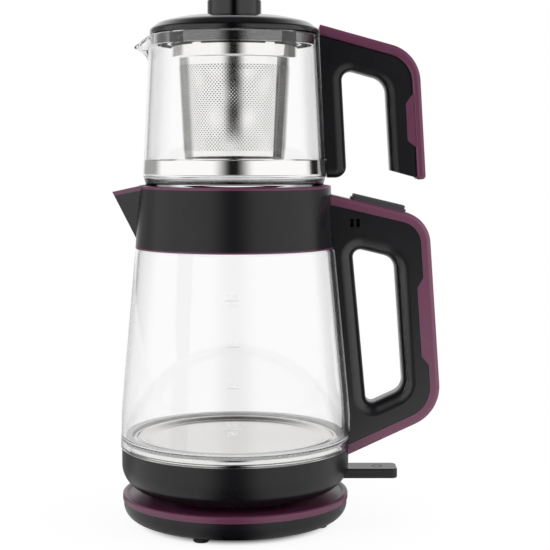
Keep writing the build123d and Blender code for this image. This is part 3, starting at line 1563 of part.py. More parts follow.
with BuildPart() as clamp_band:
    add(
        turned(
            [
                (band_inner_low, band_bottom_z),
                (band_inner_low + band_thickness, band_bottom_z),
                (band_inner_high + band_thickness, band_top_z),
                (band_inner_high, band_top_z),
            ]
        )
    )
    with BuildSketch(Plane.XY.offset(band_bottom_z)) as band_split:
        with Locations((band_outer, 0)):
            Rectangle(8.0, 2 * band_split_half)
    extrude(amount=band_height, mode=Mode.SUBTRACT)
    # the two bent ends of the band, drawn together by the screw
    with BuildSketch(Plane.XY.offset(band_bottom_z + 1.2)) as band_ends:
        end_offset = band_split_half + band_thickness / 2
        end_middle_x = (band_inner_low + band_tab_reach) / 2
        with Locations((end_middle_x, -end_offset), (end_middle_x, end_offset)):
            Rectangle(band_tab_reach - band_inner_low, band_thickness)
    extrude(amount=band_height - 2.4)
    with BuildSketch(Plane.XZ) as band_eye:
        with Locations((band_screw_x, band_middle_z)):
            Circle(small_screw_radius + screw_play)
    extrude(amount=5.0, both=True, mode=Mode.SUBTRACT)
save(clamp_band, "clamp_band")

teapot_path = [teapot_handle_top_left, teapot_handle_corner, teapot_handle_end]
teapot_cover_path = inset(teapot_path, teapot_cover_top_depth, teapot_cover_side_depth)
teapot_grip_path = inset(teapot_path, teapot_cover_top_depth + seam, teapot_cover_side_depth + seam)
teapot_hand_path = inset(teapot_path, teapot_hand_top_depth, teapot_hand_side_depth)
teapot_half = teapot_handle_width / 2
teapot_post_offset = teapot_post_gap + teapot_post_depth
teapot_post_line = [(teapot_glass_at(z) + teapot_post_offset, z) for z in (teapot_post_bottom, teapot_rim_z)]
end_right = on_line(teapot_grip_path[1], teapot_grip_path[2], teapot_grip_end_z)
end_slope = math.tan(math.radians(teapot_grip_end_slope))
end_left = meet([end_right, (end_right[0] - 1.0, end_right[1] + end_slope)], teapot_hand_path[1:3])
end_cut = [
    (end_left[0] - 8.0, end_left[1] + 8.0 * end_slope),
    (end_right[0] + 8.0, end_right[1] - 8.0 * end_slope),
    (end_right[0] + 8.0, end_right[1] - 30.0),
    (end_left[0] - 8.0, end_right[1] - 30.0),
]
teapot_hand_corner = meet(teapot_post_line, teapot_hand_path[0:2])
teapot_grip_outline = [
    *teapot_grip_path[0:2],
    on_line(teapot_grip_path[1], teapot_grip_path[2], teapot_grip_end_z - 15.0),
    on_line(teapot_hand_path[1], teapot_hand_path[2], teapot_grip_end_z - 15.0),
    teapot_hand_path[1],
    teapot_hand_corner,
    teapot_post_line[0],
    (teapot_handle_top_left[0], teapot_post_bottom),
]
teapot_inner_bend = teapot_handle_bend - teapot_cover_top_depth
teapot_grip_radii = [0, teapot_inner_bend, 0, 0, 12.0, 6.0, teapot_grip_round + 0.8, 0]
teapot_keepout = turned(
    [
        (0, teapot_post_bottom - 5.0),
        (band_outer + touch, teapot_post_bottom - 5.0),
        (band_outer + touch, band_top_z + 0.6),
        (teapot_glass_at(band_top_z + 1.2) + teapot_post_gap, band_top_z + 1.2),
        (cap_radius + cover_end_gap, teapot_rim_z - 4.0),
        (cap_radius + cover_end_gap, cap_top_z),
        (0, cap_top_z),
    ]
)
finger_left = teapot_hand_corner[0] - 4.0
finger_right = end_left[0] + 1.0
finger_top = teapot_hand_corner[1] + 2.0

with BuildPart() as teapot_handle_grip:
    extrude(side_profile(teapot_grip_outline, teapot_grip_radii), amount=teapot_half, both=True)
    teapot_pad = pad_outline(
        teapot_path, teapot_cover_side_depth, teapot_pad_depth + seam, teapot_pad_top, teapot_pad_bottom
    )
    extrude(side_profile(teapot_pad), amount=teapot_half, both=True, mode=Mode.SUBTRACT)
    teapot_sides = teapot_handle_grip.edges().filter_by(lambda e: abs(abs(e.center().Y) - teapot_half) < 0.01)
    finger_edges = teapot_sides.filter_by(
        lambda e: finger_left < e.center().X < finger_right and e.center().Z < finger_top
    )
    fillet(finger_edges, teapot_grip_round)
    extrude(side_profile(end_cut), amount=teapot_half, both=True, mode=Mode.SUBTRACT)
    add(teapot_keepout, mode=Mode.SUBTRACT)
    # slot for the band's ends, and the screw that draws them together
    with BuildSketch(Plane.XY.offset(teapot_post_bottom)) as band_slot:
        with Locations((band_outer, 0)):
            Rectangle(2 * (band_tab_reach + slip - band_outer), 2 * (band_split_half + band_thickness + slip))
    extrude(amount=band_top_z - teapot_post_bottom, mode=Mode.SUBTRACT)
    with BuildSketch(Plane.XZ.offset(-teapot_half)) as band_screw_hole:
        with Locations((band_screw_x, band_middle_z)):
            Circle(small_screw_radius + screw_play)
    extrude(amount=band_screw_sink + band_screw_length + touch, mode=Mode.SUBTRACT)
    with BuildSketch(Plane.XZ.offset(-teapot_half)) as band_screw_recess:
        with Locations((band_screw_x, band_middle_z)):
            Circle(small_head_radius + slip)
    extrude(amount=band_screw_sink, mode=Mode.SUBTRACT)
save(teapot_handle_grip, "teapot_handle_grip")

with BuildPart() as band_screw:
    add(screw((band_screw_x, teapot_half - band_screw_sink, band_middle_z), (0, -1, 0), band_screw_length))
save(band_screw, "band_screw")

teapot_cover_outline = [*teapot_path, *reversed(teapot_cover_path)]
teapot_cover_radii = [0, teapot_handle_bend, 2.6, 2.0, teapot_inner_bend + seam, 0]
with BuildPart() as teapot_handle_cover:
    extrude(side_profile(teapot_cover_outline, teapot_cover_radii), amount=teapot_half, both=True)
    cover_middle = Vector(teapot_hand_path[1][0] - 10.0, 0, teapot_grip_end_z + 20.0)
    outer_faces = teapot_handle_cover.faces().filter_by(
        lambda f: abs(f.normal_at().Y) < 0.1
        and f.normal_at().X > -0.9
        and f.normal_at().dot(f.center() - cover_middle) > 0
        and f.center().Z > teapot_grip_end_z + 2.0
    )
    rim_edges = outer_faces.edges().filter_by(lambda e: abs(abs(e.center().Y) - teapot_half) < 0.01)
    fillet(rim_edges, teapot_cover_round)
    teapot_pad = pad_outline(
        teapot_path, teapot_cover_side_depth, teapot_pad_depth, teapot_pad_top, teapot_pad_bottom
    )
    extrude(side_profile(teapot_pad), amount=teapot_half, both=True)
    add(teapot_keepout, mode=Mode.SUBTRACT)
save(teapot_handle_cover, "teapot_handle_cover")

# ================================================================== teapot lid
cap_under_z = skirt_top_z
sleeve_outer = sleeve_inner + sleeve_wall
skirt_screw_circle = (sleeve_outer + skirt_radius - skirt_wall) / 2
teapot_lid_screw_points = around(3, skirt_screw_circle, 30.0)

with BuildPart() as teapot_lid_cap:
    add(
        turned(
            [
                (cap_ring_inner, teapot_rim_z),
                (cap_radius, teapot_rim_z),
                (cap_radius, teapot_rim_z + cap_edge_height),
                (cap_radius - 6.5, cap_top_z - 4.6),
                (cap_radius - 22.0, cap_top_z - 0.8),
                (cap_flat_radius, cap_top_z),
                (0, cap_top_z),
                (0, cap_top_z - cap_wall),
                (cap_flat_radius, cap_top_z - cap_wall),
                (cap_radius - 24.0, cap_top_z - cap_wall - 1.0),
                (sleeve_inner + 1.0, cap_under_z),
                (cap_ring_inner, cap_under_z),
            ],
            [0, 0.8, 3.0, 12.0, 60.0, 0, 0, 0, 0, 6.0, 0, 0],
        )
    )
    with BuildSketch(Plane.XY.offset(cap_under_z)) as cap_bores:
        with Locations(*teapot_lid_screw_points):
            Circle(small_screw_radius + screw_play)
    extrude(amount=3.6, mode=Mode.SUBTRACT)
    with BuildSketch(Plane.XY.offset(cap_top_z - cap_wall)) as knob_hole:
        Circle(knob_screw_radius + screw_play)
    extrude(amount=cap_wall, mode=Mode.SUBTRACT)
save(teapot_lid_cap, "teapot_lid_cap")

with BuildPart() as lid_knob:
    with BuildSketch(Plane.XY.offset(cap_top_z)):
        Circle(knob_radius)
    extrude(amount=knob_height)
    fillet(lid_knob.edges().group_by(Axis.Z)[-1], 1.8)
    with BuildSketch(Plane.XY.offset(cap_top_z)):
        Circle(knob_screw_radius + screw_play)
    extrude(amount=knob_height - 3.0, mode=Mode.SUBTRACT)
save(lid_knob, "lid_knob")

with BuildPart() as knob_screw:
    add(screw((0, 0, cap_top_z - cap_wall), (0, 0, 1), cap_wall + knob_height - 4.0, knob_screw_radius))
save(knob_screw, "knob_screw")

pin_top_z = lug_top_z - 0.8
pin_bottom_z = pin_top_z - lug_pin_height
lug_angles = [first_lug_angle + 360.0 / lug_count * index for index in range(lug_count)]

with BuildPart() as lid_skirt:
    add(
        turned(
            [
                (sleeve_inner, sleeve_bottom_z),
                (sleeve_outer, sleeve_bottom_z),
                (sleeve_outer, skirt_top_z - skirt_web),
                (skirt_radius - skirt_wall, skirt_top_z - skirt_web),
                (skirt_radius - skirt_wall, skirt_bottom_z),
                (skirt_radius, skirt_bottom_z),
                (skirt_radius, skirt_top_z),
                (sleeve_inner, skirt_top_z),
            ]
        )
    )
    # notches in the outer wall
    cut_inner = skirt_radius - skirt_wall - 1.0
    cut_outer = skirt_radius + 1.0
    cut_bottom = skirt_bottom_z - 1.0
    notch_half = skirt_notch_half_angle
    for angle in skirt_notch_angles:
        notch = ring_sector(cut_inner, cut_outer, cut_bottom, skirt_notch_top_z, angle, notch_half)
        add(notch, mode=Mode.SUBTRACT)
    # bayonet slots of the infuser: each is open at the bottom at its entry end
    slot_inner = sleeve_inner - 1.0
    slot_outer = sleeve_outer + 0.5
    slot_bottom = pin_bottom_z - running_play
    slot_top = pin_top_z + running_play
    entry_bottom = sleeve_bottom_z - 1.0
    entry_half = pin_half_angle + bayonet_play
    slot_half = bayonet_turn / 2 + entry_half
    for angle in lug_angles:
        slot_middle = angle + bayonet_turn / 2
        entry_angle = angle + bayonet_turn
        slot = ring_sector(slot_inner, slot_outer, slot_bottom, slot_top, slot_middle, slot_half)
        entry = ring_sector(slot_inner, slot_outer, entry_bottom, slot_top, entry_angle, entry_half)
        add(slot, mode=Mode.SUBTRACT)
        add(entry, mode=Mode.SUBTRACT)
    with BuildSketch(Plane.XY.offset(skirt_top_z - skirt_web)) as skirt_bores:
        with Locations(*teapot_lid_screw_points):
            Circle(small_screw_radius + screw_play)
    extrude(amount=skirt_web, mode=Mode.SUBTRACT)
save(lid_skirt, "lid_skirt")

with BuildPart() as teapot_lid_screws:
    for x, y in teapot_lid_screw_points:
        add(screw((x, y, skirt_top_z - skirt_web), (0, 0, 1), skirt_web + 3.2))
save(teapot_lid_screws, "teapot_lid_screws")

# ================================================================== infuser
with BuildPart() as infuser_rim:
    add(
        turned(
            [
                (basket_top_radius - basket_steel, infuser_rim_bottom),
                (infuser_rim_radius, infuser_rim_bottom),
                (infuser_rim_radius, lug_top_z),
                (infuser_rim_radius - infuser_steel, lug_top_z),
                (infuser_rim_radius - infuser_steel, infuser_rim_bottom + infuser_steel),
                (basket_top_radius - basket_steel, infuser_rim_bottom + infuser_steel),
            ],
            [0, 1.2, 0, 0, 0.4, 0],
        )
    )
    # upright lugs stay between wide gaps in the upper edge, each with a pin that points outwards
    gap_inner = infuser_rim_radius - infuser_steel - 1.0
    gap_outer = infuser_rim_radius + 1.0
    gap_half = 180.0 / lug_count - lug_half_angle
    for angle in lug_angles:
        gap_angle = angle + 180.0 / lug_count
        gap = ring_sector(gap_inner, gap_outer, infuser_rim_top, lug_top_z + 1.0, gap_angle, gap_half)
        add(gap, mode=Mode.SUBTRACT)
        pin_root = infuser_rim_radius - infuser_steel / 2
        add(ring_sector(pin_root, lug_pin_reach, pin_bottom_z, pin_top_z, angle, pin_half_angle))
save(infuser_rim, "infuser_rim")

with BuildPart() as infuser_basket:
    add(
        turned(
            [
                (basket_bottom_radius - basket_steel, basket_bottom_z),
                (basket_bottom_radius, basket_bottom_z),
                (basket_top_radius, infuser_rim_bottom),
                (basket_top_radius - basket_steel, infuser_rim_bottom),
            ]
        )
    )
save(infuser_basket, "infuser_basket")

with BuildPart() as infuser_base:
    with BuildSketch(Plane.XY.offset(basket_bottom_z - basket_steel)) as base_disc:
        Circle(basket_bottom_radius)
        for column in range(-base_hole_reach, base_hole_reach + 1):
            for row in range(-base_hole_reach, base_hole_reach + 1):
                x = (column + row / 2) * base_hole_pitch
                y = row * base_hole_pitch * math.sqrt(0.75)
                if math.hypot(x, y) < basket_bottom_radius - 3.0:
                    with Locations((x, y)):
                        Circle(base_hole_radius, mode=Mode.SUBTRACT)
    extrude(amount=basket_steel)
save(infuser_base, "infuser_base")
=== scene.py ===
"""Finishes, fine detail and studio for a two-tier electric tea maker.

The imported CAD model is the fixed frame. Each sub-assembly is a class that dresses its own CAD pieces
and adds what is too fine for the solids: the perforated basket, the printed level marks, the teeth under
the glass jar and the rings of the heater plate. Sizes are held in millimetres and turned to metres as a
mesh is made. The axes are the frame's own: +X to the handles, -X to the spouts, +Z up, and the kettle
stands over the origin.
"""

import json
import logging
import math
from dataclasses import dataclass, field
from enum import Enum
from typing import Any, Callable, ClassVar, Mapping, Sequence

import bpy
from bpy.types import ID, Material, NodeOutputs, NodeSocket, NodeTree, Object, World
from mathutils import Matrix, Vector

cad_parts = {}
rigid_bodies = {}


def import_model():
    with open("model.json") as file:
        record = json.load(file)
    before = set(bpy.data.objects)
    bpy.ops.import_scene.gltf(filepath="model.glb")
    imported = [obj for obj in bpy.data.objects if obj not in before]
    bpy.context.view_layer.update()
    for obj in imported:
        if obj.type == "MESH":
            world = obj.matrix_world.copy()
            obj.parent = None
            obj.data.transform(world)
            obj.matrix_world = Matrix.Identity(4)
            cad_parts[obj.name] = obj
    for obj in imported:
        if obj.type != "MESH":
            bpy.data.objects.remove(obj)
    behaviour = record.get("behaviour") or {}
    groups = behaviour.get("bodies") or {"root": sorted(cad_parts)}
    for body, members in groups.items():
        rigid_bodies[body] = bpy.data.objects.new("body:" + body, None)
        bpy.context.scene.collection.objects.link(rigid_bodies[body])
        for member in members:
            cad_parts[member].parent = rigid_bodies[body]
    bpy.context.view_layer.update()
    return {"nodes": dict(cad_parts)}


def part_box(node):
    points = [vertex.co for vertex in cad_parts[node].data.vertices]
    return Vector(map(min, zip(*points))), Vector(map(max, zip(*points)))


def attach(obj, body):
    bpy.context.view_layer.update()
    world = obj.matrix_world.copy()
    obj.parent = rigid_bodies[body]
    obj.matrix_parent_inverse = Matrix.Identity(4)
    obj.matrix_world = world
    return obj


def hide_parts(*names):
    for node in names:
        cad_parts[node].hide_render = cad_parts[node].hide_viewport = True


for stray in list(bpy.data.objects):
    bpy.data.objects.remove(stray)
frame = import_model()

MM = 0.001
WAVE_RADIANS = 20.0  # a wave texture turns through this many radians per unit of its scale
CREASE = 35.0  # edges that turn by more degrees than this stay sharp
WHITE = "#FFFFFF"
SMOOTH = {"interpolation_type": "SMOOTHSTEP"}

Pair = tuple[float, float]
Triple = tuple[float, float, float]
Faces = list[list[int]]
Points = list[Triple]

log = logging.getLogger("tea_maker")


# ---------- colour and nodes
def linear(colour: str) -> tuple[float, float, float, float]:
    """Turn an sRGB hex colour into the linear values that a shader takes.

    Args:
        colour: Six hex digits, with or without a leading #.

    Returns:
        Linear red, green and blue, and an alpha of 1.
    """
    digits = colour.lstrip("#")
    shares = [int(digits[i : i + 2], 16) / 255 for i in (0, 2, 4)]
    red, green, blue = [s / 12.92 if s <= 0.04045 else ((s + 0.055) / 1.055) ** 2.4 for s in shares]
    return red, green, blue, 1.0


def add_node(tree: NodeTree, kind: str, given: Mapping[str | int, Any] | None = None) -> NodeOutputs:
    """Add one node with its settings and links.

    Args:
        tree: The node tree that takes the node.
        kind: Blender's name of the node type, without its leading ShaderNode.
        given: Settings by the name of a property, and values or feeding sockets by the name or number
            of an input.

    Returns:
        The new node's outputs.
    """
    made = tree.nodes.new("ShaderNode" + kind)
    for key, value in (given or {}).items():
        if isinstance(value, NodeSocket):
            tree.links.new(value, made.inputs[key])
        elif isinstance(key, str) and hasattr(made, key):
            setattr(made, key, value)
        else:
            made.inputs[key].default_value = value
    return made.outputs


def emptied(owner: Material | World) -> NodeTree:
    """Node tree of a material or a world, switched on and emptied."""
    owner.use_nodes = True
    owner.node_tree.nodes.clear()
    return owner.node_tree


def cells(size_mm: float) -> float:
    """Texture scale that makes one cell of a pattern the given size in millimetres."""
    return 1.0 / (size_mm * MM)


# ---------- finishes
@dataclass(frozen=True)
class Finish:
    """What every finish has: the name of the real material, its colour and how rough it is."""

    name: str
    colour: str
    roughness: float

    def material(self) -> Material:
        """Return the finish's material, built the first time it is asked for."""
        known = bpy.data.materials.get(self.name)
        if known is not None:
            return known
        made = bpy.data.materials.new(self.name)
        tree = emptied(made)
        add_node(tree, "OutputMaterial", {"Surface": self.shader(tree)})
        return made

    def shader(self, tree: NodeTree) -> NodeSocket:
        """Build the shader and return its output. Each kind of finish has its own."""
        raise NotImplementedError


@dataclass(frozen=True)
class MouldedPlastic(Finish):
    """Injection-moulded plastic: the spark-eroded grain of its mould, and a faint drift of gloss."""

    grain_mm: float = 1.1
    grain_depth_mm: float = 0.012
    drift_mm: float = 45.0
    drift: float = 0.06
    tone: float = 0.12
    ior: float = 1.53
    coat: float = 0.0
    coat_rough: float = 0.1

    def shader(self, tree: NodeTree) -> NodeSocket:
        """Grain in the normal, slow drift in the roughness, and a slight mottle in the colour."""
        place = {"Vector": add_node(tree, "TexCoord")["Object"]}
        grain = add_node(tree, "TexNoise", {**place, "Scale": cells(self.grain_mm), "Detail": 3.0})["Fac"]
        slow = add_node(tree, "TexNoise", {**place, "Scale": cells(self.drift_mm), "Detail": 2.0})["Fac"]
        low, high = self.roughness - self.drift, self.roughness + self.drift
        rough = add_node(tree, "MapRange", {"Value": slow, "To Min": low, "To Max": high})["Result"]
        low, high = 1.0 - self.tone, 1.0 + self.tone
        bright = add_node(tree, "MapRange", {"Value": grain, "To Min": low, "To Max": high})["Result"]
        mottled = add_node(tree, "HueSaturation", {"Color": linear(self.colour), "Value": bright})["Color"]
        bump = add_node(tree, "Bump", {"Height": grain, "Distance": self.grain_depth_mm * MM})["Normal"]
        body = {"Base Color": mottled, "Roughness": rough, "IOR": self.ior, "Normal": bump}
        coat = {"Coat Weight": self.coat, "Coat Roughness": self.coat_rough}
        return add_node(tree, "BsdfPrincipled", {**body, **coat})["BSDF"]


class Lay(Enum):
    """Which way the marks of a metal's working run."""

    TURNED = "turned round the upright axis"
    DRAWN = "drawn round its own wire or shank"


@dataclass(frozen=True)
class WorkedMetal(Finish):
    """Bare metal with the fine lines of its turning, brushing or drawing."""

    lay: Lay = Lay.TURNED
    line_mm: float = 0.9
    line_depth_mm: float = 0.004
    waver: float = 0.6
    stretch: float = 0.55
    smudge: float = 0.05
    smudge_mm: float = 22.0
    least_roughness: float = 0.02

    def shader(self, tree: NodeTree) -> NodeSocket:
        """Rings or grain in the normal, a stretched highlight, and faint smudges in the roughness."""
        place = {"Vector": add_node(tree, "TexCoord")["Object"]}
        if self.lay is Lay.TURNED:
            rings = {"wave_type": "RINGS", "rings_direction": "Z", **place, "Distortion": self.waver}
            scale = math.tau / WAVE_RADIANS * cells(self.line_mm)
            marks = add_node(tree, "TexWave", {**rings, "Scale": scale, "Detail": 2.0})["Fac"]
        else:
            marks = add_node(tree, "TexNoise", {**place, "Scale": cells(self.line_mm), "Detail": 4.0})["Fac"]
        slow = add_node(tree, "TexNoise", {**place, "Scale": cells(self.smudge_mm), "Detail": 3.0})["Fac"]
        low, high = max(self.roughness - self.smudge, self.least_roughness), self.roughness + self.smudge
        rough = add_node(tree, "MapRange", {"Value": slow, "To Min": low, "To Max": high})["Result"]
        bump = add_node(tree, "Bump", {"Height": marks, "Distance": self.line_depth_mm * MM})["Normal"]
        tangent = add_node(tree, "Tangent", {"direction_type": "RADIAL", "axis": "Z"})["Tangent"]
        body = {"Base Color": linear(self.colour), "Metallic": 1.0, "Roughness": rough, "Normal": bump}
        lines = {"Anisotropic": self.stretch, "Tangent": tangent}
        return add_node(tree, "BsdfPrincipled", {**body, **lines})["BSDF"]


@dataclass(frozen=True)
class ClearBody(Finish):
    """Glass or clear plastic. Lamplight passes straight through it, so it throws only a pale shadow."""

    ior: float = 1.474
    ripple_mm: float = 60.0
    ripple_depth_mm: float = 0.002
    shade: str = "#F8F8F8"

    def shader(self, tree: NodeTree) -> NodeSocket:
        """A clear body with the slow ripple of blown or moulded walls."""
        place = {"Vector": add_node(tree, "TexCoord")["Object"]}
        ripple = add_node(tree, "TexNoise", {**place, "Scale": cells(self.ripple_mm), "Detail": 1.0})["Fac"]
        bump = add_node(tree, "Bump", {"Height": ripple, "Distance": self.ripple_depth_mm * MM})["Normal"]
        clear = {"Base Color": linear(self.colour), "Roughness": self.roughness, "Transmission Weight": 1.0}
        body = add_node(tree, "BsdfPrincipled", {**clear, "IOR": self.ior, "Normal": bump})["BSDF"]
        through = add_node(tree, "BsdfTransparent", {"Color": linear(self.shade)})["BSDF"]
        shadow = add_node(tree, "LightPath")["Is Shadow Ray"]
        return add_node(tree, "MixShader", {0: shadow, 1: body, 2: through})["Shader"]


@dataclass(frozen=True)
class SoftRubber(Finish):
    """Silicone or rubber: matt, with a soft bloom on its surface."""

    bloom_mm: float = 3.0
    bloom: Pair = (0.85, 1.2)
    skin_depth_mm: float = 0.02
    sheen: float = 0.3
    ior: float = 1.41

    def shader(self, tree: NodeTree) -> NodeSocket:
        """Bloom in the colour and a shallow skin in the normal."""
        place = {"Vector": add_node(tree, "TexCoord")["Object"]}
        bloom = add_node(tree, "TexNoise", {**place, "Scale": cells(self.bloom_mm), "Detail": 5.0})["Fac"]
        low, high = self.bloom
        bright = add_node(tree, "MapRange", {"Value": bloom, "To Min": low, "To Max": high})["Result"]
        skin = add_node(tree, "HueSaturation", {"Color": linear(self.colour), "Value": bright})["Color"]
        bump = add_node(tree, "Bump", {"Height": bloom, "Distance": self.skin_depth_mm * MM})["Normal"]
        body = {"Base Color": skin, "Roughness": self.roughness, "IOR": self.ior, "Normal": bump}
        return add_node(tree, "BsdfPrincipled", {**body, "Sheen Weight": self.sheen})["BSDF"]


# ABS moulded in a spark-eroded mould: satin, so it takes broad soft highlights
BLACK_ABS = MouldedPlastic("abs_black_moulded_satin", "#0F0E11", 0.28, grain_depth_mm=0.006, ior=1.46)
# the same ABS through-coloured aubergine: evener in its tone, with softer highlights
PURPLE_ABS = MouldedPlastic(
    "abs_aubergine_moulded_satin", "#5A2A44", 0.32, grain_depth_mm=0.006, tone=0.05, ior=1.57
)
# the handle's cover and grip: copies of the same ABS, painted lighter for the brighter light on the handle,
# from smoother moulds and with a higher IOR for stronger reflections
COVER_ABS = MouldedPlastic(
    "abs_aubergine_moulded_smooth", "#663850", 0.26, grain_depth_mm=0.005, tone=0.05, ior=1.62
)
GRIP_ABS = MouldedPlastic("abs_black_moulded_smooth", "#121114", 0.25, grain_depth_mm=0.005, ior=1.62)
# ABS with a coarser grain, so that a thumb finds the release tab: nearly matt
TAB_ABS = MouldedPlastic("abs_charcoal_coarse_grain", "#3B393D", 0.5, grain_mm=1.6, grain_depth_mm=0.03)
# ABS from a polished mould: deep black with mirror-like reflections
GLOSS_ABS = MouldedPlastic(
    "abs_black_polished_mould", "#060508", 0.1, grain_depth_mm=0.0015, drift=0.03, coat=0.3, coat_rough=0.05
)
# polypropylene of the pieces that meet the tea: dark grey, waxy
GREY_PP = MouldedPlastic("polypropylene_dark_grey", "#2A292C", 0.28, ior=1.49)
# smoke-grey polycarbonate of the lid's skirt, from a polished mould: hard and mirror-like
GREY_GLOSS = MouldedPlastic(
    "polycarbonate_smoke_polished", "#0E0D0F", 0.1, grain_depth_mm=0.0015, drift=0.03, ior=2.0, coat=1.0
)
# glass-filled PBT next to the heater: dull, with a fibrous mottle
FILLED_PBT = MouldedPlastic(
    "pbt_glass_filled_black", "#222124", 0.55, grain_mm=2.2, grain_depth_mm=0.03, tone=0.25
)
# borosilicate glass, blown in a mould: clear, its walls a little uneven
BLOWN_GLASS = ClearBody("borosilicate_glass_blown", "#FDFDFD", 0.0)
# SAN plastic ring, polished: a little denser than glass at its edges
CLEAR_SAN = ClearBody("san_clear_polished", "#F6F6F6", 0.03, ior=1.57, ripple_mm=25.0)
# stainless steel, polished bright: white reflections, with turning lines coarser than real to show
POLISHED_STEEL = WorkedMetal(
    "stainless_steel_polished", "#FBFAF8", 0.07, line_mm=1.4, line_depth_mm=0.0005, smudge=0.03
)
# stainless steel brushed in circles, the marks coarser than real to show: each ring catches the light apart
BRUSHED_STEEL = WorkedMetal("stainless_steel_circle_brushed", "#D6D4D2", 0.13, line_mm=1.5)
# the same stainless steel inside the basket, painted darker and duller: painted shade inside the basket, so
# the holes read dark from outside
PICKLED_STEEL = WorkedMetal("stainless_steel_pickled", "#A3A2A0", 0.4, line_mm=1.5, line_depth_mm=0.01)
# zinc-plated steel of the screws
PLATED_STEEL = WorkedMetal("steel_zinc_plated", "#B4B6B8", 0.32, lay=Lay.DRAWN, stretch=0.2)
# black-zinc screws, so that they don't shine under the dark shell
BLACK_ZINC = WorkedMetal("steel_black_zinc", "#1F1F21", 0.42, lay=Lay.DRAWN, stretch=0.2)
# spring wire, drawn through a die and oiled
SPRING_WIRE = WorkedMetal("spring_wire_drawn", "#8E8D8B", 0.28, lay=Lay.DRAWN, line_mm=0.6)
# cast and pressed aluminium under the plate
ALUMINIUM = WorkedMetal("aluminium_pressed", "#C9CBCD", 0.42, lay=Lay.DRAWN, line_mm=1.8, line_depth_mm=0.02)
# brass contacts, stamped and bright
CONTACT_BRASS = WorkedMetal("brass_stamped", "#C9A45A", 0.25, lay=Lay.DRAWN, stretch=0.1)
# bimetal discs: a nickel steel with a straw tint
BIMETAL = WorkedMetal("bimetal_nickel_steel", "#B9AE98", 0.3, lay=Lay.DRAWN, stretch=0.1)
# food-grade silicone, moulded: milky grey with a soft bloom
SILICONE = SoftRubber("silicone_milky_grey", "#D2D3D3", 0.5)
# moulded rubber of the feet and the cord's bush: matt black
FOOT_RUBBER = SoftRubber("rubber_black", "#1D1C1D", 0.7, bloom_mm=2.0)
# ceramic ink fired on the glass: pale grey, matt
LEVEL_INK = MouldedPlastic("ceramic_ink_pale_grey", "#DEDFE0", 0.6, grain_depth_mm=0.002, tone=0.05)


# ---------- pieces made here
def placed(name: str, data: ID) -> Object:
    """Object of the given data, linked into the scene."""
    made = bpy.data.objects.new(name, data)
    bpy.context.scene.collection.objects.link(made)
    return made


def mesh_piece(name: str, points: Points, faces: Faces, finish: Finish) -> Object:
    """Make a mesh object in the frame's own axes.

    Args:
        name: Name of the piece.
        points: Its points, in millimetres.
        faces: Its faces, as numbers of points.
        finish: Its finish.

    Returns:
        The new object.
    """
    mesh = bpy.data.meshes.new(name)
    mesh.from_pydata([[c * MM for c in point] for point in points], [], faces)
    mesh.shade_smooth()
    mesh.set_sharp_from_angle(angle=math.radians(CREASE))
    mesh.materials.append(finish.material())
    mesh.update()
    return placed(name, mesh)


def about_axis(radius: float, angle: float, height: float) -> Triple:
    """Point at a radius and an angle about the upright axis."""
    return radius * math.cos(angle), radius * math.sin(angle), height


def lofted(around: int, loops: int, first: int = 0, ring: bool = False) -> Faces:
    """Faces between equal loops of points that follow each other.

    Args:
        around: Points in each loop.
        loops: How many loops there are.
        first: Number of the first loop's first point.
        ring: Whether the last loop joins the first. If not, both ends are capped.

    Returns:
        Faces that look outward where the loops run counter-clockwise, seen from the last one's side.
    """
    faces = []
    for loop in range(loops if ring else loops - 1):
        here, there = first + loop * around, first + (loop + 1) % loops * around
        for i in range(around):
            j = (i + 1) % around
            faces.append([here + i, here + j, there + j, there + i])
    if not ring:
        last = first + (loops - 1) * around
        faces += [[first + i for i in reversed(range(around))], [last + i for i in range(around)]]
    return faces


@dataclass(frozen=True)
class Corner:
    """Corner of a turned outline, in millimetres: radius, height and how far it is rounded."""

    radius: float
    height: float
    rounding: float = 0.0


def rounded(corners: Sequence[Corner], steps: int = 7) -> list[Pair]:
    """Closed outline with an arc at each rounded corner.

    Args:
        corners: The corners, in order.
        steps: Runs in each arc.

    Returns:
        Points as (radius, height), in millimetres.
    """
    outline = []
    for i, here in enumerate(corners):
        before, after = corners[i - 1], corners[(i + 1) % len(corners)]
        if not here.rounding:
            outline.append((here.radius, here.height))
            continue
        first = math.atan2(here.height - before.height, here.radius - before.radius)
        second = math.atan2(after.height - here.height, after.radius - here.radius)
        turn = (second - first + math.pi) % math.tau - math.pi
        side = math.copysign(here.rounding, turn)
        back = abs(side * math.tan(turn / 2))
        middle = (
            here.radius - math.cos(first) * back - math.sin(first) * side,
            here.height - math.sin(first) * back + math.cos(first) * side,
        )
        for k in range(steps + 1):
            angle = first + turn * k / steps
            outline.append((middle[0] + math.sin(angle) * side, middle[1] - math.cos(angle) * side))
    return outline


def refined(outline: Sequence[Pair], longest: float) -> list[Pair]:
    """The same closed outline with no run longer than the given length."""
    points = []
    for i, start in enumerate(outline):
        end = outline[(i + 1) % len(outline)]
        parts = max(math.ceil(math.dist(start, end) / longest), 1)
        points += [
            (start[0] + (end[0] - start[0]) * k / parts, start[1] + (end[1] - start[1]) * k / parts)
            for k in range(parts)
        ]
    return points


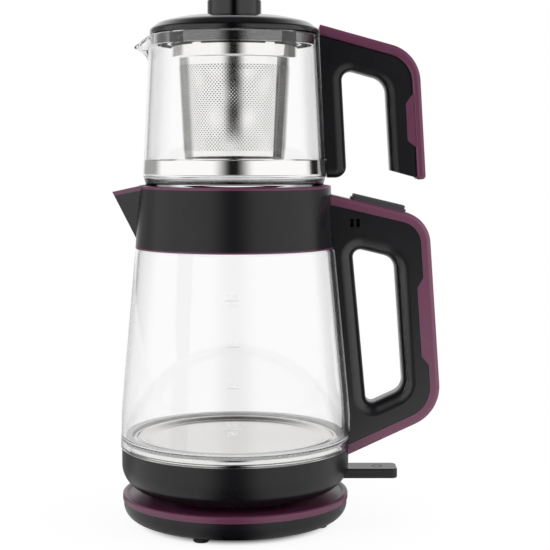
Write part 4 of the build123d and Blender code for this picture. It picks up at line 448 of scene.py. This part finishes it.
def turned(
    name: str,
    outline: Sequence[Pair],
    finish: Finish,
    sides: int = 240,
    bend: Callable[[float, float, float], Pair] | None = None,
) -> Object:
    """Turn a closed outline about the upright axis.

    Args:
        name: Name of the piece.
        outline: Points as (radius, height), in millimetres, counter-clockwise; radius 0 is on the axis.
        finish: Its finish.
        sides: Steps round the axis.
        bend: Gives a point's new radius and height from its angle, radius and height.

    Returns:
        The new object.
    """
    points: Points = []
    numbers: Faces = []
    for side in range(sides):
        angle = math.tau * side / sides
        column = []
        for i, (radius, height) in enumerate(outline):
            if radius < 0.001 and side:
                column.append(numbers[0][i])
                continue
            r, z = bend(angle, radius, height) if bend else (radius, height)
            column.append(len(points))
            points.append(about_axis(r, angle, z))
        numbers.append(column)
    faces = []
    for side, column in enumerate(numbers):
        following = numbers[(side + 1) % sides]
        for i in range(len(outline)):
            j = (i + 1) % len(outline)
            loop = list(dict.fromkeys((column[i], following[i], following[j], column[j])))
            if len(loop) > 2:
                faces.append(loop)
    return mesh_piece(name, points, faces, finish)


class SubAssembly:
    """A group of pieces: the body that they ride on, and the CAD pieces that each finish goes on."""

    body: ClassVar[str]
    dressed: ClassVar[Mapping[Finish, Sequence[str]]]

    def dress(self) -> None:
        """Give each CAD piece of the group its finish."""
        for finish, names in self.dressed.items():
            for name in names:
                for slot in frame["nodes"][name].material_slots:
                    slot.material = finish.material()
                log.info("%s: %s on %s", self.body, finish.name, name)

    def keep(self, piece: Object, slot: str, *replaced: str) -> None:
        """Let a new piece ride on the group's body.

        Args:
            piece: The new piece, already in place.
            slot: The record's slot that its finish stands for. It is not used.
            replaced: CAD pieces that it stands for.
        """
        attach(piece, self.body)
        if replaced:
            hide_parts(*replaced)
        log.info("%s: made %s", self.body, piece.name)

    @staticmethod
    def span(node: str) -> Pair:
        """Lowest and highest point of a CAD piece, in millimetres."""
        low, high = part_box(node)
        return low[2] / MM, high[2] / MM

    def build(self) -> None:
        """Dress the CAD pieces and make the group's own pieces."""
        self.dress()


class PowerBase(SubAssembly):
    """The corded base that the kettle is lifted off."""

    body = "base"
    dressed = {
        BLACK_ABS: ("base_housing",),
        PURPLE_ABS: ("base_top_cover",),
        FOOT_RUBBER: ("base_feet", "cord_inlet"),
        PLATED_STEEL: ("base_screws",),
        FILLED_PBT: ("base_socket",),
        CONTACT_BRASS: ("socket_contacts",),
    }


@dataclass
class LevelMark:
    """One printed mark on the glass: a short line, its volume above and a note below."""

    height: float  # above the jar's lower edge
    words: str
    note: str = ""


@dataclass
class Kettle(SubAssembly):
    """Shell, heater, glass jar, collar and handle."""

    body = "kettle"
    dressed = {
        BLACK_ABS: ("kettle_base_shell", "kettle_bottom_cover", "collar"),
        PURPLE_ABS: ("collar_trim", "collar_rim"),
        # the grip and cover take copies of the ABS painted lighter: a painted lift for the light on the
        # handle
        GRIP_ABS: ("handle_grip",),
        COVER_ABS: ("handle_cover",),
        GREY_PP: ("spout_filter",),
        FILLED_PBT: ("kettle_plug", "thermostat_control", "steam_tube"),
        BLOWN_GLASS: ("kettle_glass",),
        CLEAR_SAN: ("clear_ring",),
        BRUSHED_STEEL: ("heater_plate",),
        ALUMINIUM: ("heating_element", "heat_spreader"),
        SILICONE: ("plate_seal", "glass_rim_seal"),
        BLACK_ZINC: ("kettle_bottom_screws",),
        PLATED_STEEL: ("control_screws", "handle_screws", "lever_pin"),
        CONTACT_BRASS: ("plug_contacts",),
        BIMETAL: ("bimetal_discs",),
        SPRING_WIRE: ("catch_spring", "button_spring"),
    }
    foot_radius: float = 80.6
    foot_height: float = 15.5  # of the straight part above the jar's lower edge
    foot_rounding: float = 0.4
    bend: float = 300.6  # the slow bend from the straight foot into the taper
    shoulder_radius: float = 69.7
    shoulder_height: float = 130.2
    shoulder_rounding: float = 3.5
    neck_radius: float = 65.3
    neck_height: float = 135.2
    neck_rounding: float = 2.5
    edge_rounding: float = 1.1
    wall: float = 2.8
    inner_drop: float = 0.8  # how much lower the inside of shoulder and neck bends
    longest_run: float = 6.0  # of the jar's outline
    plate_top: tuple[Corner, ...] = (  # heights from the flange's upper face
        Corner(75.9, 0.0, 0.3),  # flange
        Corner(71.5, 0.0, 0.8),
        Corner(70.0, -0.4, 0.8),  # groove
        Corner(67.8, 0.9, 1.4),  # bead
        Corner(65.2, 0.2, 1.0),
        Corner(62.0, -1.5, 0.8),  # foot of the step
        Corner(60.0, -1.4, 0.5),
        Corner(58.9, -2.0, 0.6),  # rim of the sunk disc
        Corner(0.0, -2.0),
    )
    steel: float = 0.8
    press_radius: float = 62.5  # of the sunk part, seen from below
    press_slope: Pair = (3.0, 0.3)  # how far its side leans out, and where it ends below the flange
    liner_radius: float = 74.4
    liner_span: Pair = (0.1, 4.8)  # from the clear ring's lower edge
    liner_rounding: float = 0.2
    ring_teeth: int = 140
    tooth_radii: Pair = (79.2, 80.3)
    tooth_span: Pair = (-1.5, -0.9)  # from the clear ring's upper edge
    tooth_share: float = 0.3  # of the pitch, to each side of a tooth's middle
    # the seam between grip and cover where it bends: a point of each, in x and z
    bend_seam: tuple[tuple[Pair, Pair], ...] = (
        ((117.22, 213.00), (117.29, 213.29)),
        ((118.70, 212.57), (118.79, 212.85)),
        ((120.13, 212.00), (120.25, 212.27)),
        ((121.49, 211.29), (121.64, 211.55)),
        ((122.78, 210.46), (122.96, 210.70)),
        ((123.99, 209.50), (124.18, 209.73)),
        ((125.09, 208.43), (125.31, 208.64)),
    )
    tongue_half: float = 1.5
    tongue_fill: Pair = (0.05, 0.95)  # shares of the seam's width
    louvres: int = 24
    louvre_depth: float = 0.25
    screen_span: Pair = (78.4, 89.0)  # in x, behind both vents
    screen_half: float = 5.0
    screen_drop: float = 1.4  # of its middle below the lid catch
    screen_reach: float = 6.15
    screen_thickness: float = 0.3
    top_run: tuple[Pair, Pair] = ((60.0, 234.0), (135.3, 216.1))
    tab_middle: float = 100.0
    tab_size: Pair = (37.0, 18.0)
    tab_corner: float = 1.6
    bezel_gap: float = 0.35
    bezel_wall: float = 0.8
    bezel_height: float = 1.8
    bezel_edge: float = 0.35
    bezel_sink: float = 0.3
    bezel_steps: int = 6
    marks: tuple[LevelMark, ...] = (
        LevelMark(18.0, "0.5L", "Min"),
        LevelMark(44.2, "1.0L"),
        LevelMark(71.1, "1.5L"),
        LevelMark(101.3, "1.8L", "Max"),
    )
    mark_angle: float = -89.6  # degrees from +X
    mark_height: float = 4.6
    mark_depth: float = 0.04  # half the thickness of the print
    mark_line: Pair = (5.6, 0.2)  # half its length and half its width
    words_rise: float = 1.3
    note_drop: float = 4.6
    ink_gap: float = 0.01  # keeps the ink clear of the glass

    def jar(self) -> Object:
        """Glass jar, turned finely enough that its walls refract cleanly."""
        low, high = self.span("kettle_glass")
        inner_foot, inner_neck = self.foot_radius - self.wall, self.neck_radius - self.wall
        foot_top, shoulder, neck = (
            low + height for height in (self.foot_height, self.shoulder_height, self.neck_height)
        )
        outline = rounded(
            [
                Corner(inner_foot, low, self.foot_rounding),
                Corner(self.foot_radius, low, self.foot_rounding),
                Corner(self.foot_radius, foot_top, self.bend),
                Corner(self.shoulder_radius, shoulder, self.shoulder_rounding),
                Corner(self.neck_radius, neck, self.neck_rounding),
                Corner(self.neck_radius, high, self.edge_rounding),
                Corner(inner_neck, high, self.edge_rounding),
                Corner(inner_neck, neck - self.inner_drop, self.neck_rounding),
                Corner(self.shoulder_radius - self.wall, shoulder - self.inner_drop, self.shoulder_rounding),
                Corner(inner_foot, foot_top, self.bend),
            ]
        )
        return turned("kettle_jar", refined(outline, self.longest_run), BLOWN_GLASS)

    def plate(self) -> Object:
        """Pressed heater plate: a sunk disc, a rounded step, a bead and a flat flange."""
        low, high = self.span("heater_plate")
        lean, tuck = self.press_slope
        under = [
            Corner(0.0, low),
            Corner(self.press_radius, low, 1.0),
            Corner(self.press_radius + lean, high - self.steel - tuck, 1.0),
            Corner(self.plate_top[0].radius, high - self.steel, 0.3),
        ]
        top = [Corner(c.radius, high + c.height, c.rounding) for c in self.plate_top]
        return turned("heater_disc", rounded(under + top), BRUSHED_STEEL)

    def liner(self) -> Object:
        """Thin steel band inside the clear ring's shelf, which shows pale through the ring."""
        bottom, top = (self.span("clear_ring")[0] + height for height in self.liner_span)
        inner = self.liner_radius - self.steel
        band = [
            Corner(inner, bottom),
            Corner(self.liner_radius, bottom, self.liner_rounding),
            Corner(self.liner_radius, top, self.liner_rounding),
            Corner(inner, top),
        ]
        return turned("ring_liner", rounded(band, 2), POLISHED_STEEL)

    def tongue(self) -> Object:
        """Tongue in the seam of the handle's upper bend, so that no light comes through the seam."""
        points: Points = []
        half = self.tongue_half
        for grip, cover in self.bend_seam:
            near, far = (
                [low + (high - low) * share for low, high in zip(grip, cover)] for share in self.tongue_fill
            )
            loop = ((near, -half), (near, half), (far, half), (far, -half))
            points += [(x, y, z) for (x, z), y in loop]
        return mesh_piece("seam_tongue", points, lofted(4, len(self.bend_seam)), GRIP_ABS)

    def teeth(self) -> Object:
        """Short silicone teeth under the jar, just below the clear ring's upper edge."""
        top = self.span("clear_ring")[1]
        pitch = math.tau / self.ring_teeth
        inner, outer = self.tooth_radii
        loop = [
            (radius, turn * self.tooth_share * pitch)
            for radius, turn in ((inner, -1), (outer, -1), (outer, 1), (inner, 1))
        ]
        points: Points = []
        faces: Faces = []
        for tooth in range(self.ring_teeth):
            faces += lofted(4, 2, len(points))
            for height in self.tooth_span:
                points += [about_axis(radius, tooth * pitch + turn, top + height) for radius, turn in loop]
        return mesh_piece("ring_teeth", points, faces, SILICONE)

    def screens(self) -> Object:
        """Louvred screens inside the handle, behind the steam vents of each side."""
        bottom = self.span("lid_catch")[0] - self.screen_drop - self.screen_half
        left, right = self.screen_span
        points: Points = []
        faces: Faces = []
        for side in (-1, 1):
            faces += lofted(4, self.louvres + 1, len(points))
            for row in range(self.louvres + 1):
                height = bottom + 2 * self.screen_half * row / self.louvres
                near = self.screen_reach + self.louvre_depth * (-1) ** row
                far = near + self.screen_thickness
                loop = [(left, near), (right, near), (right, far), (left, far)]
                points += [(x, side * y, height) for x, y in loop[::side]]
        return mesh_piece("vent_screens", points, faces, FILLED_PBT)

    def bezel(self) -> Object:
        """Low frame on the handle's top, round the foot of the release tab."""
        (x0, z0), (x1, z1) = self.top_run
        run = math.dist(*self.top_run)
        along = ((x1 - x0) / run, (z1 - z0) / run)
        start = (self.tab_middle, z0 + (z1 - z0) * (self.tab_middle - x0) / (x1 - x0))
        inner, outer = self.bezel_gap, self.bezel_gap + self.bezel_wall
        shoulder = self.bezel_height - self.bezel_edge
        sections = (
            (outer, -self.bezel_sink),
            (outer, shoulder),
            (outer - self.bezel_edge, self.bezel_height),
            (inner + self.bezel_edge, self.bezel_height),
            (inner, shoulder),
            (inner, -self.bezel_sink),
        )
        reach_u, reach_v = (size / 2 - self.tab_corner for size in self.tab_size)
        points: Points = []
        for spread, rise in sections:
            radius = self.tab_corner + spread
            for corner, (side_u, side_v) in enumerate(((1, 1), (-1, 1), (-1, -1), (1, -1))):
                for step in range(self.bezel_steps + 1):
                    angle = math.pi / 2 * (corner + step / self.bezel_steps)
                    u = side_u * reach_u + radius * math.cos(angle)
                    v = side_v * reach_v + radius * math.sin(angle)
                    x = start[0] + along[0] * u - along[1] * rise
                    z = start[1] + along[1] * u + along[0] * rise
                    points.append((x, v, z))
        faces = lofted(4 * (self.bezel_steps + 1), len(sections), ring=True)
        return mesh_piece("tab_bezel", points, faces, TAB_ABS)

    def glass_radius(self, height: float) -> float:
        """Outer radius of the jar at a height above its lower edge, in millimetres."""
        share = max((height - self.foot_height) / (self.shoulder_height - self.foot_height), 0.0)
        return self.foot_radius + (self.shoulder_radius - self.foot_radius) * share

    def lettering(self, words: str) -> tuple[Points, Faces]:
        """Flat raised letters.

        Args:
            words: What they say.

        Returns:
            Points in millimetres, and faces.
        """
        curve = bpy.data.curves.new("words", "FONT")
        curve.body = words
        curve.size = self.mark_height
        curve.extrude = self.mark_depth
        curve.align_x = "CENTER"
        curve.resolution_u = 3
        carrier = placed("words", curve)
        bpy.context.view_layer.update()
        solid = carrier.evaluated_get(bpy.context.evaluated_depsgraph_get())
        mesh = bpy.data.meshes.new_from_object(solid)
        points = [tuple(v.co) for v in mesh.vertices]
        faces = [list(p.vertices) for p in mesh.polygons]
        bpy.data.objects.remove(carrier)
        bpy.data.curves.remove(curve)
        bpy.data.meshes.remove(mesh)
        return points, faces

    def printed(self, mark: LevelMark) -> tuple[Points, Faces]:
        """Words and line of one mark, bent round the jar.

        Args:
            mark: The mark.

        Returns:
            Points in millimetres, and faces.
        """
        depth = self.mark_depth
        flat: Points = []
        faces: Faces = []
        for words, shift in ((mark.words, self.words_rise), (mark.note, -self.note_drop)):
            letters, more = self.lettering(words)
            faces += [[len(flat) + i for i in face] for face in more]
            flat += [(x, y + shift, z) for x, y, z in letters]
        faces += lofted(4, 2, len(flat))
        long, wide = self.mark_line
        for z in (-depth, depth):
            flat += [(x, y, z) for x, y in ((-long, -wide), (long, -wide), (long, wide), (-long, wide))]
        foot = self.span("kettle_glass")[0]
        bent = []
        for x, y, z in flat:
            radius = self.glass_radius(mark.height + y) + z + depth + self.ink_gap
            angle = math.radians(self.mark_angle) + x / radius
            bent.append(about_axis(radius, angle, foot + mark.height + y))
        return bent, faces

    def level_marks(self) -> Object:
        """All the printed marks as one piece."""
        points: Points = []
        faces: Faces = []
        for mark in self.marks:
            more, sides = self.printed(mark)
            faces += [[len(points) + i for i in side] for side in sides]
            points += more
        return mesh_piece("level_marks", points, faces, LEVEL_INK)

    def build(self) -> None:
        """Dress the kettle and make its own pieces."""
        self.dress()
        self.keep(self.jar(), "borosilicate_glass", "kettle_glass")
        self.keep(self.plate(), "brushed_steel", "heater_plate")
        self.keep(self.teeth(), "silicone")
        self.keep(self.tongue(), "black_abs")
        self.keep(self.screens(), "heatproof_plastic")
        self.keep(self.liner(), "polished_steel")
        self.keep(self.bezel(), "dark_tab")
        self.keep(self.level_marks(), "grey_plastic")


class KettleLid(SubAssembly):
    """The flat lid that carries the teapot."""

    body = "kettle_lid"
    dressed = {
        BLACK_ABS: ("kettle_lid", "kettle_lid_plate"),
        SILICONE: ("kettle_lid_seal",),
        PLATED_STEEL: ("kettle_lid_screws",),
    }


class LidRelease(SubAssembly):
    """The tab on the handle and the catch that it draws back."""

    body = "release_button"
    dressed = {TAB_ABS: ("release_button",), GREY_PP: ("lid_catch",)}


class PowerSwitch(SubAssembly):
    """The lever below the handle."""

    body = "power_lever"
    dressed = {BLACK_ABS: ("power_lever",)}


@dataclass
class Teapot(SubAssembly):
    """Glass pot with its steel band and handle."""

    body = "teapot"
    dressed = {
        BLOWN_GLASS: ("teapot_glass",),
        POLISHED_STEEL: ("clamp_band",),
        BLACK_ABS: ("teapot_handle_grip",),
        PURPLE_ABS: ("teapot_handle_cover",),
        PLATED_STEEL: ("band_screw",),
    }
    foot_inner: float = 58.8
    foot_slope: float = 0.7
    foot_outer: float = 61.6
    belly_radius: float = 64.05
    belly_height: float = 8.6
    rim_radius: float = 58.6
    rim_height: float = 105.6
    rim_rounding: float = 1.15
    floor_height: float = 1.2
    floor_top: float = 3.9
    wall: float = 2.4
    lip_bottom: float = 87.6
    lip_nose: float = 96.8
    lip_reach: float = 70.0
    lip_top_reach: float = 69.0
    lip_curve: float = 1.8
    lip_flare: float = 0.9
    lip_blunt: float = 0.05
    lip_blend: float = 4.5
    lip_side: float = 0.5  # cosine of the turn from the lip's middle where it has ended
    brim_drop: float = 8.0
    longest_run: float = 1.6
    sides: int = 320
    foot: float = field(default=0.0, init=False)

    def outer(self, angle: float, height: float) -> float:
        """Outer radius of the pot at an angle and a height above its foot, with the pouring lip."""
        share = (height - self.belly_height) / (self.rim_height - self.belly_height)
        wall = self.belly_radius + (self.rim_radius - self.belly_radius) * share
        if height < self.lip_bottom:
            return wall
        if height < self.lip_nose:
            rise = (height - self.lip_bottom) / (self.lip_nose - self.lip_bottom)
            reach = wall + (self.lip_reach - wall) * rise**self.lip_curve
        else:
            rise = (height - self.lip_nose) / (self.rim_height - self.lip_nose)
            reach = self.lip_reach + (self.lip_top_reach - self.lip_reach) * rise
        ahead = -math.cos(angle)
        if ahead < self.lip_side:
            return wall
        aside = math.hypot(math.sin(angle), self.lip_blunt) + self.lip_flare * ahead
        bulge = reach * (self.lip_flare + self.lip_blunt) / aside - wall
        if bulge > self.lip_blend:
            return wall + bulge
        return wall + max(bulge + self.lip_blend, 0.0) ** 2 / (4 * self.lip_blend)

    def drawn_lip(self, angle: float, radius: float, height: float) -> Pair:
        """Move a point of the plain pot to where the drawn pouring lip takes it."""
        above = height - self.foot
        if above < self.lip_bottom - 1.0:
            return radius, height
        plain = self.outer(0.0, above)
        grown = self.outer(angle, above) - plain
        reach = self.outer(angle, self.rim_height) - self.rim_radius
        full = self.lip_reach - self.rim_radius
        share = min(max((above - self.lip_nose) / (self.rim_height - self.lip_nose), 0.0), 1.0)
        return radius + grown, height - self.brim_drop * max(reach, 0.0) / full * share

    def pot(self) -> Object:
        """Glass pot with a rounded rim and a drawn lip, turned finely enough to refract cleanly."""
        self.foot = self.span("teapot_glass")[0]
        corners = [
            Corner(0.0, self.floor_height),
            Corner(self.foot_inner, self.floor_height, 0.8),
            Corner(self.foot_inner + self.foot_slope, 0.0, 0.9),
            Corner(self.foot_outer, 0.0, 1.6),
            Corner(self.belly_radius, self.belly_height, 4.0),
            Corner(self.rim_radius, self.rim_height, self.rim_rounding),
            Corner(self.rim_radius - self.wall, self.rim_height, self.rim_rounding),
            Corner(self.belly_radius - self.wall, self.floor_top, 5.0),
            Corner(0.0, self.floor_top),
        ]
        raised = [Corner(c.radius, self.foot + c.height, c.rounding) for c in corners]
        outline = refined(rounded(raised), self.longest_run)
        return turned("teapot_pot", outline, BLOWN_GLASS, self.sides, self.drawn_lip)

    def build(self) -> None:
        """Dress the teapot and make its glass."""
        self.dress()
        self.keep(self.pot(), "borosilicate_glass", "teapot_glass")


class TeapotLid(SubAssembly):
    """Glossy cap with its knob and the skirt that holds the infuser."""

    body = "teapot_lid"
    dressed = {
        GLOSS_ABS: ("teapot_lid_cap", "lid_knob"),
        GREY_GLOSS: ("lid_skirt",),
        PLATED_STEEL: ("knob_screw", "teapot_lid_screws"),
    }


@dataclass
class Infuser(SubAssembly):
    """Steel basket with a perforated wall, hung from the teapot's lid."""

    body = "infuser"
    dressed = {POLISHED_STEEL: ("infuser_rim", "infuser_base")}
    bottom_radius: float = 35.6
    top_radius: float = 38.9
    steel: float = 0.6
    columns: int = 100  # the real holes are finer: these are as coarse as they need to be to show
    rows: int = 45
    row_pitch: float = 1.3
    first_row: float = 6.0  # above the lower edge
    hole: float = 0.5
    bottom: float = field(default=0.0, init=False)
    top: float = field(default=0.0, init=False)

    def wall_point(self, turn: float, height: float, depth: float) -> Triple:
        """Point of the wall.

        Args:
            turn: Share of a full turn.
            height: Height in millimetres.
            depth: Distance inside the outer face.

        Returns:
            The point in millimetres.
        """
        share = (height - self.bottom) / (self.top - self.bottom)
        radius = self.bottom_radius + (self.top_radius - self.bottom_radius) * share - depth
        return about_axis(radius, math.tau * turn, height)

    def wall(self) -> Object:
        """The tapered wall with its staggered holes, each in a six-sided cell shared with its neighbours."""
        self.bottom, self.top = self.span("infuser_basket")
        pitch = math.pi * (self.bottom_radius + self.top_radius) / self.columns
        step = self.row_pitch / 3
        across = 2 * self.columns
        corners = [(0, 2), (-1, 1), (-1, -1), (0, -2), (1, -1), (1, 1)]
        wide, tall = 2 * self.hole / pitch, self.hole / (2 * step)
        points: Points = []
        faces: Faces = []
        inside: list[int] = []
        known: dict[Pair, int] = {}

        def at(column: float, level: float, height: float | None = None) -> int:
            """Number of the outer point at a place of the grid; its inner twin is the next number."""
            key = (column % across, level)
            if key not in known:
                known[key] = len(points)
                z = self.bottom + self.first_row + level * step if height is None else height
                points.extend(self.wall_point(key[0] / across, z, depth) for depth in (0.0, self.steel))
            return known[key]

        def sheet(*loop: int) -> None:
            """Add one face to the outer skin and its twin to the inner skin."""
            faces.append(list(loop))
            inside.append(len(faces))
            faces.append([i + 1 for i in reversed(loop)])

        for row in range(self.rows):
            for column in range(self.columns):
                u, v = 2 * column + row % 2, 3 * row
                rim = [at(u + du, v + dv) for du, dv in corners]
                hole = [at(u + du * wide, v + dv * tall) for du, dv in corners]
                for i in range(6):
                    j = (i + 1) % 6
                    sheet(rim[i], rim[j], hole[j], hole[i])
                    faces.append([hole[i], hole[j], hole[j] + 1, hole[i] + 1])
        for row, side, height in ((0, -1, self.bottom), (self.rows - 1, 1, self.top)):
            # the plain strip between the outermost cells and the wall's edge
            cells = [at(column, 3 * row + side * (1 + (column - row + 1) % 2)) for column in range(across)]
            edge = [at(column, side * math.inf, height) for column in range(across)]
            for here in range(across):
                there = (here + 1) % across
                sheet(*[cells[here], cells[there], edge[there], edge[here]][::side])
                one, two = (edge[here], edge[there])[::side]
                faces.append([one, two, two + 1, one + 1])
        piece = mesh_piece("infuser_wall", points, faces, POLISHED_STEEL)
        # the inner skin takes the darker steel: painted shade inside the basket
        piece.data.materials.append(PICKLED_STEEL.material())
        for i in inside:
            piece.data.polygons[i].material_index = 1
        return piece

    def build(self) -> None:
        """Dress the rim and the base, and make the perforated wall."""
        self.dress()
        self.keep(self.wall(), "polished_steel", "infuser_basket")


# ---------- studio
@dataclass
class Softbox:
    """One soft lamp: where it stands, how large it is and how much light it gives."""

    name: str
    place: Triple
    size: Pair
    power: float


@dataclass
class Studio:
    """White room, pale floor, soft lamps and the camera."""

    eye: Triple = (0.0282, -1.0, 0.265)
    tilt: float = 5.13
    lens: float = 93.16
    film: float = 36.0
    ambient: float = 0.5
    gap: Pair = (3.0, 27.0)  # degrees from the front where it is darkest and where it ends
    gap_share: float = 0.01
    ceiling: Pair = (25.0, 70.0)  # degrees above level where the room darkens
    ceiling_share: float = 0.08
    flags: tuple[float, float, float, float] = (98.0, 116.0, 135.0, 160.0)  # degrees where it dims sideways
    flag_share: float = 0.35
    floor_radius: float = 3.0
    floor_sides: int = 96
    floor_glow: tuple[Triple, ...] = ((0.0545, 0.0725, 0.93), (0.0725, 0.2, 0.07))
    fibre_mm: float = 2.0
    fibre_depth_mm: float = 0.05
    fibre_share: float = 0.2
    lamps: tuple[Softbox, ...] = (
        Softbox("left_softbox", (-1.5, -1.1, 0.8), (0.9, 1.6), 17.0),
        Softbox("right_softbox", (1.6, -0.9, 0.8), (0.9, 1.6), 14.0),
        Softbox("top_softbox", (0.0, 0.1, 2.0), (1.6, 1.6), 16.0),
    )
    aim: Triple = (0.03, 0.0, 0.18)

    @staticmethod
    def ray_kinds(tree: NodeTree) -> tuple[NodeSocket, NodeSocket]:
        """Tell rays apart.

        Args:
            tree: The node tree.

        Returns:
            Whether a ray was mirrored anywhere on its way, also before or after it passed through glass,
            and whether it is the camera's own or comes through glass.
        """
        ray = add_node(tree, "LightPath")
        mirrored = add_node(tree, "Math", {"operation": "GREATER_THAN", 0: ray["Glossy Depth"], 1: 0.5})[0]
        kinds = {0: ray["Is Camera Ray"], 1: ray["Is Transmission Ray"]}
        return mirrored, add_node(tree, "Math", {"operation": "MAXIMUM", **kinds})[0]

    def front_gap(self, tree: NodeTree, place: NodeSocket) -> NodeSocket:
        """Share of light by the turn from the front: next to none straight ahead, less behind the sides.

        Args:
            tree: The node tree.
            place: Direction, or place on the floor, as seen from the object.

        Returns:
            The share, from 0 to 1.
        """
        flat = add_node(tree, "VectorMath", {"operation": "MULTIPLY", 0: place, 1: (1.0, 1.0, 0.0)})["Vector"]
        level = add_node(tree, "VectorMath", {"operation": "NORMALIZE", 0: flat})["Vector"]
        front = {0: level, 1: (0.0, -1.0, 0.0)}
        ahead = add_node(tree, "VectorMath", {"operation": "DOT_PRODUCT", **front})["Value"]
        turn = add_node(tree, "Math", {"operation": "ARCCOSINE", 0: ahead})[0]
        shares = []
        for (start, end), low, high in (
            (self.gap, self.gap_share, 1.0),
            (self.flags[:2], 1.0, self.flag_share),
            (self.flags[2:], 0.0, 1.0),
        ):
            turns = {"From Min": math.radians(start), "From Max": math.radians(end), "Value": turn}
            turns |= {"To Min": low, "To Max": high}
            shares.append(add_node(tree, "MapRange", {**SMOOTH, **turns})["Result"])
        sides = add_node(tree, "Math", {"operation": "MAXIMUM", 0: shares[1], 1: shares[2]})[0]
        return add_node(tree, "Math", {"operation": "MULTIPLY", 0: shares[0], 1: sides})[0]

    def world(self) -> None:
        """White for the camera and for glass. In reflections a dark gap stands between the softboxes.

        The room stands in for the lamps in everything that mirrors, because the lamps themselves don't show.
        """
        world = bpy.data.worlds.new("white_room")
        tree = emptied(world)
        mirrored, straight = self.ray_kinds(tree)
        direction = add_node(tree, "TexCoord")["Generated"]
        gap = self.front_gap(tree, direction)
        upward = add_node(tree, "SeparateXYZ", {"Vector": direction})["Z"]
        start, end = (math.sin(math.radians(turn)) for turn in self.ceiling)
        rise = {"From Min": start, "From Max": end, "To Min": 1.0, "To Max": self.ceiling_share}
        ceiling = add_node(tree, "MapRange", {**SMOOTH, **rise, "Value": upward})["Result"]
        walls = add_node(tree, "Math", {"operation": "MULTIPLY", 0: gap, 1: ceiling})[0]
        plain = add_node(tree, "Mix", {"Factor": straight, "A": self.ambient, "B": 1.0})["Result"]
        strength = add_node(tree, "Mix", {"Factor": mirrored, "A": plain, "B": walls})["Result"]
        sky = add_node(tree, "Background", {"Color": linear(WHITE), "Strength": strength})["Background"]
        add_node(tree, "OutputWorld", {"Surface": sky})
        bpy.context.scene.world = world

    def floor_finish(self) -> Material:
        """White paper that keeps the shadow round the object and is plain white further out.

        Mirrored in the object its colour is darkened at the front, a painted shade that matches the dark gap
        of the room.
        """
        made = bpy.data.materials.new("paper_white_matt")
        tree = emptied(made)
        mirrored, straight = self.ray_kinds(tree)
        place = add_node(tree, "TexCoord")["Object"]
        distance = add_node(tree, "VectorMath", {"operation": "LENGTH", 0: place})["Value"]
        rises = []
        for start, end, rise in self.floor_glow:
            reach = {"From Min": start, "From Max": end, "Value": distance}
            reach |= {"To Min": 0.0, "To Max": rise}
            rises.append(add_node(tree, "MapRange", {**SMOOTH, **reach})["Result"])
        glow = add_node(tree, "Math", {"operation": "ADD", 0: rises[0], 1: rises[1]})[0]
        share = add_node(tree, "Math", {"operation": "MULTIPLY", 0: straight, 1: glow})[0]
        fine = {"Vector": place, "Scale": cells(self.fibre_mm), "Detail": 4.0}
        fibre = add_node(tree, "TexNoise", fine)["Fac"]
        depth = {"Strength": self.fibre_share, "Distance": self.fibre_depth_mm * MM}
        bump = add_node(tree, "Bump", {"Height": fibre, **depth})["Normal"]
        # painted shade: in reflections the paper is darkened towards the front, as the room is
        gap = self.front_gap(tree, place)
        kept = add_node(tree, "Mix", {"Factor": mirrored, "A": 1.0, "B": gap})["Result"]
        white = linear("#FAFAFA")[:3]
        shade = add_node(tree, "VectorMath", {"operation": "SCALE", 0: white, "Scale": kept})["Vector"]
        paper = add_node(tree, "BsdfDiffuse", {"Color": shade, "Normal": bump})["BSDF"]
        light = add_node(tree, "Emission", {"Color": linear(WHITE)})["Emission"]
        mix = add_node(tree, "MixShader", {0: share, 1: paper, 2: light})["Shader"]
        add_node(tree, "OutputMaterial", {"Surface": mix})
        return made

    def floor(self) -> None:
        """Round sheet of paper under the object."""
        sides = range(self.floor_sides)
        rim = [about_axis(self.floor_radius, math.tau * side / self.floor_sides, 0.0) for side in sides]
        mesh = bpy.data.meshes.new("floor")
        mesh.from_pydata(rim, [], [list(sides)])
        mesh.materials.append(self.floor_finish())
        placed("floor", mesh)

    def light(self, box: Softbox) -> None:
        """Hang one soft lamp and turn it to the object."""
        lamp = bpy.data.lights.new(box.name, "AREA")
        lamp.shape = "RECTANGLE"
        lamp.size, lamp.size_y = box.size
        lamp.energy = box.power
        holder = placed(box.name, lamp)
        holder.location = box.place
        towards = [a - b for a, b in zip(self.aim, box.place)]
        holder.rotation_euler = Vector(towards).to_track_quat("-Z", "Y").to_euler()
        holder.visible_glossy = holder.visible_transmission = holder.visible_camera = False

    def camera(self) -> None:
        """Camera a little above the kettle's rim, looking down on it."""
        data = bpy.data.cameras.new("camera")
        data.sensor_width = self.film
        data.lens = self.lens
        holder = placed("camera", data)
        holder.location = self.eye
        holder.rotation_euler = (math.radians(90.0 - self.tilt), 0.0, 0.0)
        bpy.context.scene.camera = holder

    def build(self) -> None:
        """Set up the room, the lamps and the camera."""
        self.world()
        self.floor()
        for box in self.lamps:
            self.light(box)
        self.camera()
        bpy.context.scene.view_settings.view_transform = "Standard"
        log.info("studio: %d lamps", len(self.lamps))


def main() -> None:
    """Build every sub-assembly and the studio."""
    logging.basicConfig(level=logging.INFO, format="%(message)s")
    for group in (PowerBase, Kettle, KettleLid, LidRelease, PowerSwitch, Teapot, TeapotLid, Infuser):
        group().build()
    Studio().build()


if __name__ == "__main__":
    main()
